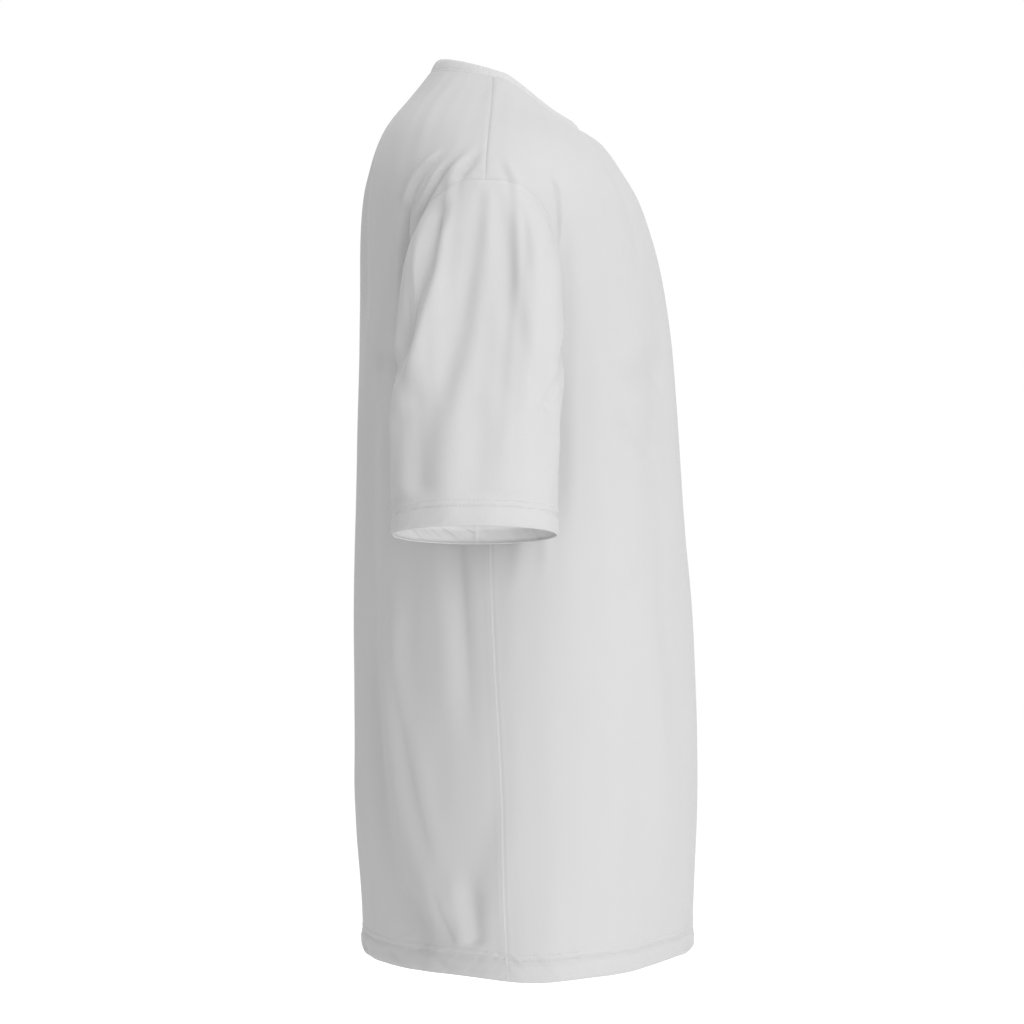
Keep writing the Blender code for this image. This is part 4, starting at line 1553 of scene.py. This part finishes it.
@dataclass
class Piece:
    """A piece of the shirt, with the solid it stands for and its size laid flat.

    Its grid sets its points and their outward directions, the lengths up from its hem, its places on the
    flat cloth and the painted highlight that its seams and hem rows lay on each point.
    """

    node: str
    flat_size: tuple[float, float]
    flat_area: float

    wall: ClassVar[float]
    closed: ClassVar[bool] = False
    slot: ClassVar[str] = "jersey"
    held: ClassVar[Held] = Held.DRAPED
    # size of the hem against the body's, and 1 or -1 where the grid's rows go up or down
    hem_size: ClassVar[float] = 1.0
    rows_up: ClassVar[int] = 1

    def build(self, material: bpy.types.Material, inside: bpy.types.Material) -> bpy.types.Object:
        """Makes the piece.

        Args:
            material: its finish outside.
            inside: its finish on the back of the cloth.

        Returns:
            The piece's object.
        """
        cloth = Cloth(self.name, self.points, self.flat, self.seam_highlight, self.wall, self.closed)
        self.piece = cloth.build(material, inside)
        return self.piece

    def stitch(self, stitches: Stitches) -> None:
        """Lays both rows of stitches on the piece's hem."""
        points, normals, climb = (grid[:: self.rows_up] for grid in (self.points, self.normals, self.climb))
        for row in SEWING.hem_rows:
            distance = row * self.hem_size
            stitches.row(line_at(points, climb, distance), line_at(normals, climb, distance))

    def dress(self, stitches: list[bpy.types.Object]) -> None:
        """Hangs the piece on the body and hides the solid that it stands for.

        Args:
            stitches: the stitches that go with it; not used.
        """
        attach(self.piece, BODY)
        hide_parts(self.node)


@dataclass
class BodyPanel(Piece):
    """The front or back of the body, from the hem to the neckline."""

    face: Face
    blend: float = 0.12
    hem_calm: float = 0.5
    # share of the painted seam highlight taken away by the side seam
    side_highlight_cut: float = 0.8

    wall: ClassVar[float] = 1.0

    @property
    def name(self) -> str:
        """The piece's name."""
        return f"{self.face.value}_body"

    def grid(self, form: BodyForm, lines: Lines) -> None:
        """Works out the panel's points.

        Args:
            form: the body's form.
            lines: where the grid's lines lie.
        """
        runs, shares = lines.runs(form), lines.shares()[None]
        edge = form.edge_angle(runs[:, :1], self.face)
        if self.face is Face.FRONT:
            angle = shares * edge
        else:
            angle = wrapped(math.pi - shares * (math.pi - edge))
        points, n = form.folded(angle, runs)
        climb, across = lengths_along(points, 0), lengths_along(points, 1)
        centre = np.argmin(np.abs(lines.shares()))
        across = across - across[:, centre : centre + 1]
        lift = np.zeros(points.shape[:2])
        nearest = np.full(points.shape[:2], FAR)
        for line in (points[:, 0], points[:, -1]):
            distance, along = nearest_on(line, points)
            lift += SEWING.beside(distance, along)
            nearest = np.minimum(nearest, distance)
        on_side = 1 - ramp(form.armpit - self.blend, form.armpit + self.blend, runs)
        on_shoulder = ramp(form.tip - self.blend, form.tip + self.blend, runs)
        lift += on_side * SEWING.edge(nearest, self.face is Face.BACK)
        lift += on_shoulder * SEWING.sunk.lift(nearest)
        lift += (1 - on_side - on_shoulder) * SEWING.cord.lift(nearest)
        neck, along = nearest_on(points[-1], points)
        lift += SEWING.beside(neck, along) + SEWING.cord.lift(neck)
        lift *= self.hem_calm + (1 - self.hem_calm) * ramp(0, SEWING.hem_rows[1], climb)
        lift += SEWING.hem(climb, across)
        self.points, self.normals, self.climb = points + n * lift[..., None], n, climb
        self.flat = np.stack([across, climb], axis=-1)
        # painted highlight by the seams and the hem's rows, weaker by the side seam and none above the
        # shoulder tip
        seam_highlight = SEWING.highlight_share(np.minimum(nearest, neck)) * (1 - on_shoulder) * (1 - self.side_highlight_cut * on_side)
        self.seam_highlight = np.maximum(seam_highlight, SEWING.hem_highlight_share(climb))


@dataclass
class Sleeve(Piece):
    """A short sleeve, from the armhole to its turned-up hem."""

    side: Side
    outer: dict[str, Fold]
    hem_x: float = 266.0
    hem_y: float = 13.4
    hem_z: float = -386.5
    half_width: float = 54.0
    half_depth: float = 66.0
    tilt: float = math.radians(8.4)
    pull: float = 0.9
    calm: float = 0.06
    facing: tuple[float, float] = (-0.10, 0.30)
    end_facing: tuple[float, float] = (0.20, 0.65)
    end_shift: float = 9.0
    samples: int = 120
    seam_start: tuple[float, float] = (2.0, 8.0)
    drape: Drape = Drape(0.4)
    drape_shift: float = 40.0

    wall: ClassVar[float] = 0.9
    closed: ClassVar[bool] = True
    hem_size: ClassVar[float] = 0.9
    rows_up: ClassVar[int] = -1

    @property
    def name(self) -> str:
        """The piece's name."""
        return f"{self.side.word}_sleeve"

    def bare(self, form: BodyForm, turn: np.ndarray, share: np.ndarray) -> tuple[np.ndarray, np.ndarray]:
        """The sleeve before its own folds.

        Args:
            form: the body's form.
            turn: places round the sleeve, from the armpit over the front, the top and the back.
            share: places down it, 0 at the armhole and 1 at the hem.

        Returns:
            The grid's points in mm, and the body's outward directions round the armhole.
        """
        start, n = form.armhole(turn, self.side)
        rows = np.array(list(SLEEVE_START.values()))
        out, ahead, up = (through(rows[:, 0], rows[:, i], turn) for i in (1, 2, 3))
        sign = self.side.value
        leave = unit(np.stack([sign * out, -ahead, up], axis=-1))
        sine, cosine = math.sin(self.tilt), math.cos(self.tilt)
        across = -np.cos(math.pi * turn) * self.half_width
        end = np.stack(
            [
                sign * (self.hem_x + across * cosine),
                self.hem_y - np.sin(math.pi * turn) * self.half_depth,
                self.hem_z + across * sine,
            ],
            axis=-1,
        )
        arrive = np.array([sign * sine, 0.0, -cosine])
        length = self.pull * np.linalg.norm(end - start, axis=-1, keepdims=True)
        s = share[:, None, None]
        points = (
            (1 + 2 * s) * (1 - s) ** 2 * start
            + s * (1 - s) ** 2 * length * leave
            + s * s * (3 - 2 * s) * end
            + s * s * (s - 1) * length * arrive
        )
        return points, n

    def grid(self, form: BodyForm, lines: Lines) -> None:
        """Works out the sleeve's points.

        Args:
            form: the body's form.
            lines: where the grid's lines lie.
        """
        half = form.armhole_turns(lines.sleeve_half)
        turn = np.concatenate([half, 2 - half[::-1][1:]])
        even = np.linspace(0, 1, self.samples)
        coarse, _ = self.bare(form, turn, even)
        mean = lengths_along(coarse, 0).mean(axis=1)
        marks = np.concatenate(
            [
                lines.seam,
                np.linspace(lines.seam[-1], mean[-1] - lines.hem[-1], lines.sleeve_rows + 1)[1:-1],
                mean[-1] - np.array(lines.hem)[::-1],
            ]
        )
        share = np.interp(marks, mean, even)
        share[-1] = 1.0
        points, body_n = self.bare(form, turn, share)
        middle = points[:, :-1].mean(axis=1, keepdims=True)
        n = turned(closed_normals(points), points - middle)
        sign = self.side.value
        x, y, z = np.moveaxis(points, -1, 0)
        lift = lift_of(self.outer, y, z) * ramp(*self.facing, sign * n[..., 0])
        for folds, way in ((SLEEVE_FORWARD, -1), (SLEEVE_BACKWARD, 1)):
            facing = ramp(*self.end_facing, way * n[..., 1])
            lift += lift_of(folds, sign * x, z - way * self.end_shift * sign) * facing
        round_it = lengths_along(points, 1)
        lift += self.drape.lift(round_it, z + self.drape_shift * sign) * np.sin(math.pi * turn / 2) ** 2
        lift *= ramp(0, self.calm, share)[:, None]
        down = lengths_along(points, 0)
        climb = down[-1:] - down
        seam_place = np.abs(np.minimum(round_it, round_it[:, -1:] - round_it))
        lift += SEWING.beside(down, round_it) + SEWING.hem(climb / self.hem_size, round_it)
        lift += SEWING.beside(seam_place, down) + SEWING.sunk.lift(seam_place) * ramp(*self.seam_start, down)
        self.points = points + n * lift[..., None] + SEWING.cord.lift(down)[..., None] * body_n[None]
        self.points[:, -1] = self.points[:, 0]
        self.normals, self.climb = n, climb
        outer = round_it[:, len(half) - 1 : len(half)]
        self.flat = np.stack([round_it - outer, climb], axis=-1)
        # painted highlight along the armhole and underarm seams and the hem's rows
        self.seam_highlight = np.maximum(
            SEWING.highlight_share(np.minimum(down, seam_place)), SEWING.hem_highlight_share(climb, self.hem_size)
        )


@dataclass
class NeckBand(Piece):
    """The rib band round the neck, folded double along its top edge."""

    bow: float = 0.7
    fold_roll: float = 0.8
    fold_width: float = 0.10
    # half-width of the painted highlight by the band's seam
    highlight_width: float = 1.0

    name: ClassVar[str] = "neck_band"
    wall: ClassVar[float] = 1.7
    closed: ClassVar[bool] = True
    slot: ClassVar[str] = "rib"
    held: ClassVar[Held] = Held.STRETCHED

    def grid(self, form: BodyForm, lines: Lines) -> None:
        """Works out the band's points.

        Args:
            form: the body's form.
            lines: where the grid's lines lie.
        """
        edge = form.edge_angle(np.array([form.neck]), Face.FRONT)[0]
        shares = lines.shares()
        back = math.pi - shares[::-1] * (math.pi - edge)
        angle = wrapped(np.concatenate([shares * edge, back[1:]]))
        foot, n = form.folded(angle, np.full_like(angle, form.neck))
        top = oval(angle, NECK_EDGE)
        way = top - foot
        bow = turned(unit(np.cross(way, np.gradient(foot, axis=0))), n)
        rise = np.array(lines.collar_rows)[:, None, None]
        height = np.linalg.norm(way, axis=-1)
        climb = rise[..., 0] * height
        lift = self.bow * np.sin(math.pi * rise) - self.fold_roll * bell(1 - rise, 0, self.fold_width)
        points = foot + way * rise + bow * lift
        points = points + SEWING.cord.lift(climb)[..., None] * n
        points[:, -1] = points[:, 0]
        around = lengths_along(foot[:, None], 0)[:, 0]
        self.points = points
        self.flat = np.stack(np.broadcast_arrays(around[None], climb), axis=-1)
        # painted highlight mask by the band's seam
        self.seam_highlight = bell(climb, 0, self.highlight_width)


# ---------------------------------------------------------------------------------------------------
# Studio
# ---------------------------------------------------------------------------------------------------


@dataclass
class Studio:
    """A pale floor, soft lights and the camera, looking at the wearer's right side."""

    aim: tuple[float, float, float] = (0.0, -0.0163, -0.368)
    distance: float = 2.55
    lens: float = 101.25
    floor_z: float = -1.20
    floor_radius: float = 9.0
    floor_sides: int = 96
    sensor: float = 36.0
    clip: tuple[float, float] = (0.05, 60.0)
    world: float = 1.0
    # place, size in metres, power in watts
    lights: dict[str, tuple[tuple[float, float, float], float, float]] = field(
        default_factory=lambda: {
            "top": ((-0.52, -0.21, 2.78), 1.6, 60.0),
            "side": ((-2.93, -1.16, 0.19), 1.6, 56.0),
            "low": ((-1.42, -1.21, -1.12), 1.0, 11.0),
            "front": ((-0.43, -2.43, 1.69), 1.6, 9.0),
            "low_front": ((-0.23, -2.60, -0.60), 1.3, 9.0),
            "left": ((3.10, 0.10, 0.50), 1.6, 24.0),
        }
    )

    def floor(self) -> None:
        """Lays the floor."""
        net = bmesh.new()
        bmesh.ops.create_circle(net, cap_ends=True, segments=self.floor_sides, radius=self.floor_radius)
        bmesh.ops.translate(net, verts=net.verts, vec=(0, 0, self.floor_z))
        mesh = bpy.data.meshes.new("floor")
        net.to_mesh(mesh)
        net.free()
        mesh.materials.append(FloorFinish().material())
        placed("floor", mesh)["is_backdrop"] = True

    def light(self) -> None:
        """Sets up the lights and the white surroundings."""
        world = bpy.data.worlds.new("surroundings")
        world.use_nodes = True
        sky = world.node_tree.nodes["Background"]
        sky.inputs["Color"].default_value = grey(1.0)
        sky.inputs["Strength"].default_value = self.world
        bpy.context.scene.world = world
        bpy.context.scene.view_settings.view_transform = "Standard"
        aim = Vector(self.aim)
        for name, (place, size, power) in self.lights.items():
            lamp = bpy.data.lights.new(name, "AREA")
            lamp.size, lamp.energy = size, power
            stand = placed(name, lamp)
            stand.location = place
            stand.rotation_euler = (aim - Vector(place)).to_track_quat("-Z", "Y").to_euler()

    def camera(self) -> None:
        """Stands the camera level with the middle of the shirt, square to its side."""
        data = bpy.data.cameras.new("camera")
        data.sensor_width, data.lens = self.sensor, self.lens
        data.clip_start, data.clip_end = self.clip
        camera = placed("camera", data)
        x, y, z = self.aim
        camera.location = (x - self.distance, y, z)
        camera.rotation_euler = (math.pi / 2, 0.0, -math.pi / 2)
        bpy.context.scene.camera = camera


@dataclass
class Shirt:
    """The whole shirt: two body panels, two sleeves, the neck band and the stitches of its hems."""

    form: BodyForm = field(default_factory=BodyForm)
    lines: Lines = field(default_factory=Lines)
    panels: tuple[BodyPanel, BodyPanel] = (
        BodyPanel("front_panel", (0.610, 0.760), 0.430, Face.FRONT),
        BodyPanel("back_panel", (0.560, 0.775), 0.382, Face.BACK),
    )
    sleeves: tuple[Sleeve, Sleeve] = (
        Sleeve("sleeve_right", (0.430, 0.285), 0.089, Side.RIGHT, RIGHT_SLEEVE_OUTER),
        Sleeve("sleeve_left", (0.430, 0.285), 0.089, Side.LEFT, LEFT_SLEEVE_OUTER),
    )
    band: NeckBand = field(default_factory=lambda: NeckBand("collar_band", (0.500, 0.016), 0.0080))

    def sew(self, name: str, pieces: tuple[Piece, ...], thread: bpy.types.Material) -> bpy.types.Object:
        """Sews a hem.

        Args:
            name: the name of its stitches.
            pieces: the pieces it runs over.
            thread: the thread's finish.

        Returns:
            The stitches of both rows.
        """
        stitches = Stitches(name)
        for piece in pieces:
            piece.stitch(stitches)
        made = stitches.build(thread)
        report(made)
        return made

    def build(self) -> None:
        """Builds and dresses every piece, in order."""
        jersey, rib, thread = JerseyFinish().material(), RibFinish().material(), ThreadFinish().material()
        # the back of the cloth takes the lighter finish with painted light inside the shirt
        back = JERSEY_BACK_PAINTED_LIGHT.material()
        for piece in (*self.panels, *self.sleeves):
            piece.grid(self.form, self.lines)
            report(piece.build(jersey, back))
        self.band.grid(self.form, self.lines)
        report(self.band.build(rib, rib))
        front_panel, back_panel = self.panels
        front_panel.dress([self.sew("hem_stitches", self.panels, thread)])
        back_panel.dress([])
        for sleeve in self.sleeves:
            sleeve.dress([self.sew(f"{sleeve.side.word}_sleeve_stitches", (sleeve,), thread)])
        self.band.dress([])


def report(piece: bpy.types.Object) -> None:
    """Logs a piece's name, size and outer area."""
    area = sum(face.area for face in piece.data.polygons)
    LOG.info("%s: %d faces, %.4f square metres", piece.name, len(piece.data.polygons), area)


def main() -> None:
    """Loads the frame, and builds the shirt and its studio."""
    logging.basicConfig(level=logging.INFO, format="%(message)s")
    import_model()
    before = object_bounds()
    Shirt().build()
    studio = Studio()
    studio.floor()
    studio.light()
    studio.camera()
    bpy.context.view_layer.update()
    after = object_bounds()
    sides = [[round((high[i] - low[i]) / MM, 1) for i in range(3)] for low, high in (before, after)]
    LOG.info("solids %s mm, dressed %s mm", *sides)


if __name__ == "__main__":
    main()
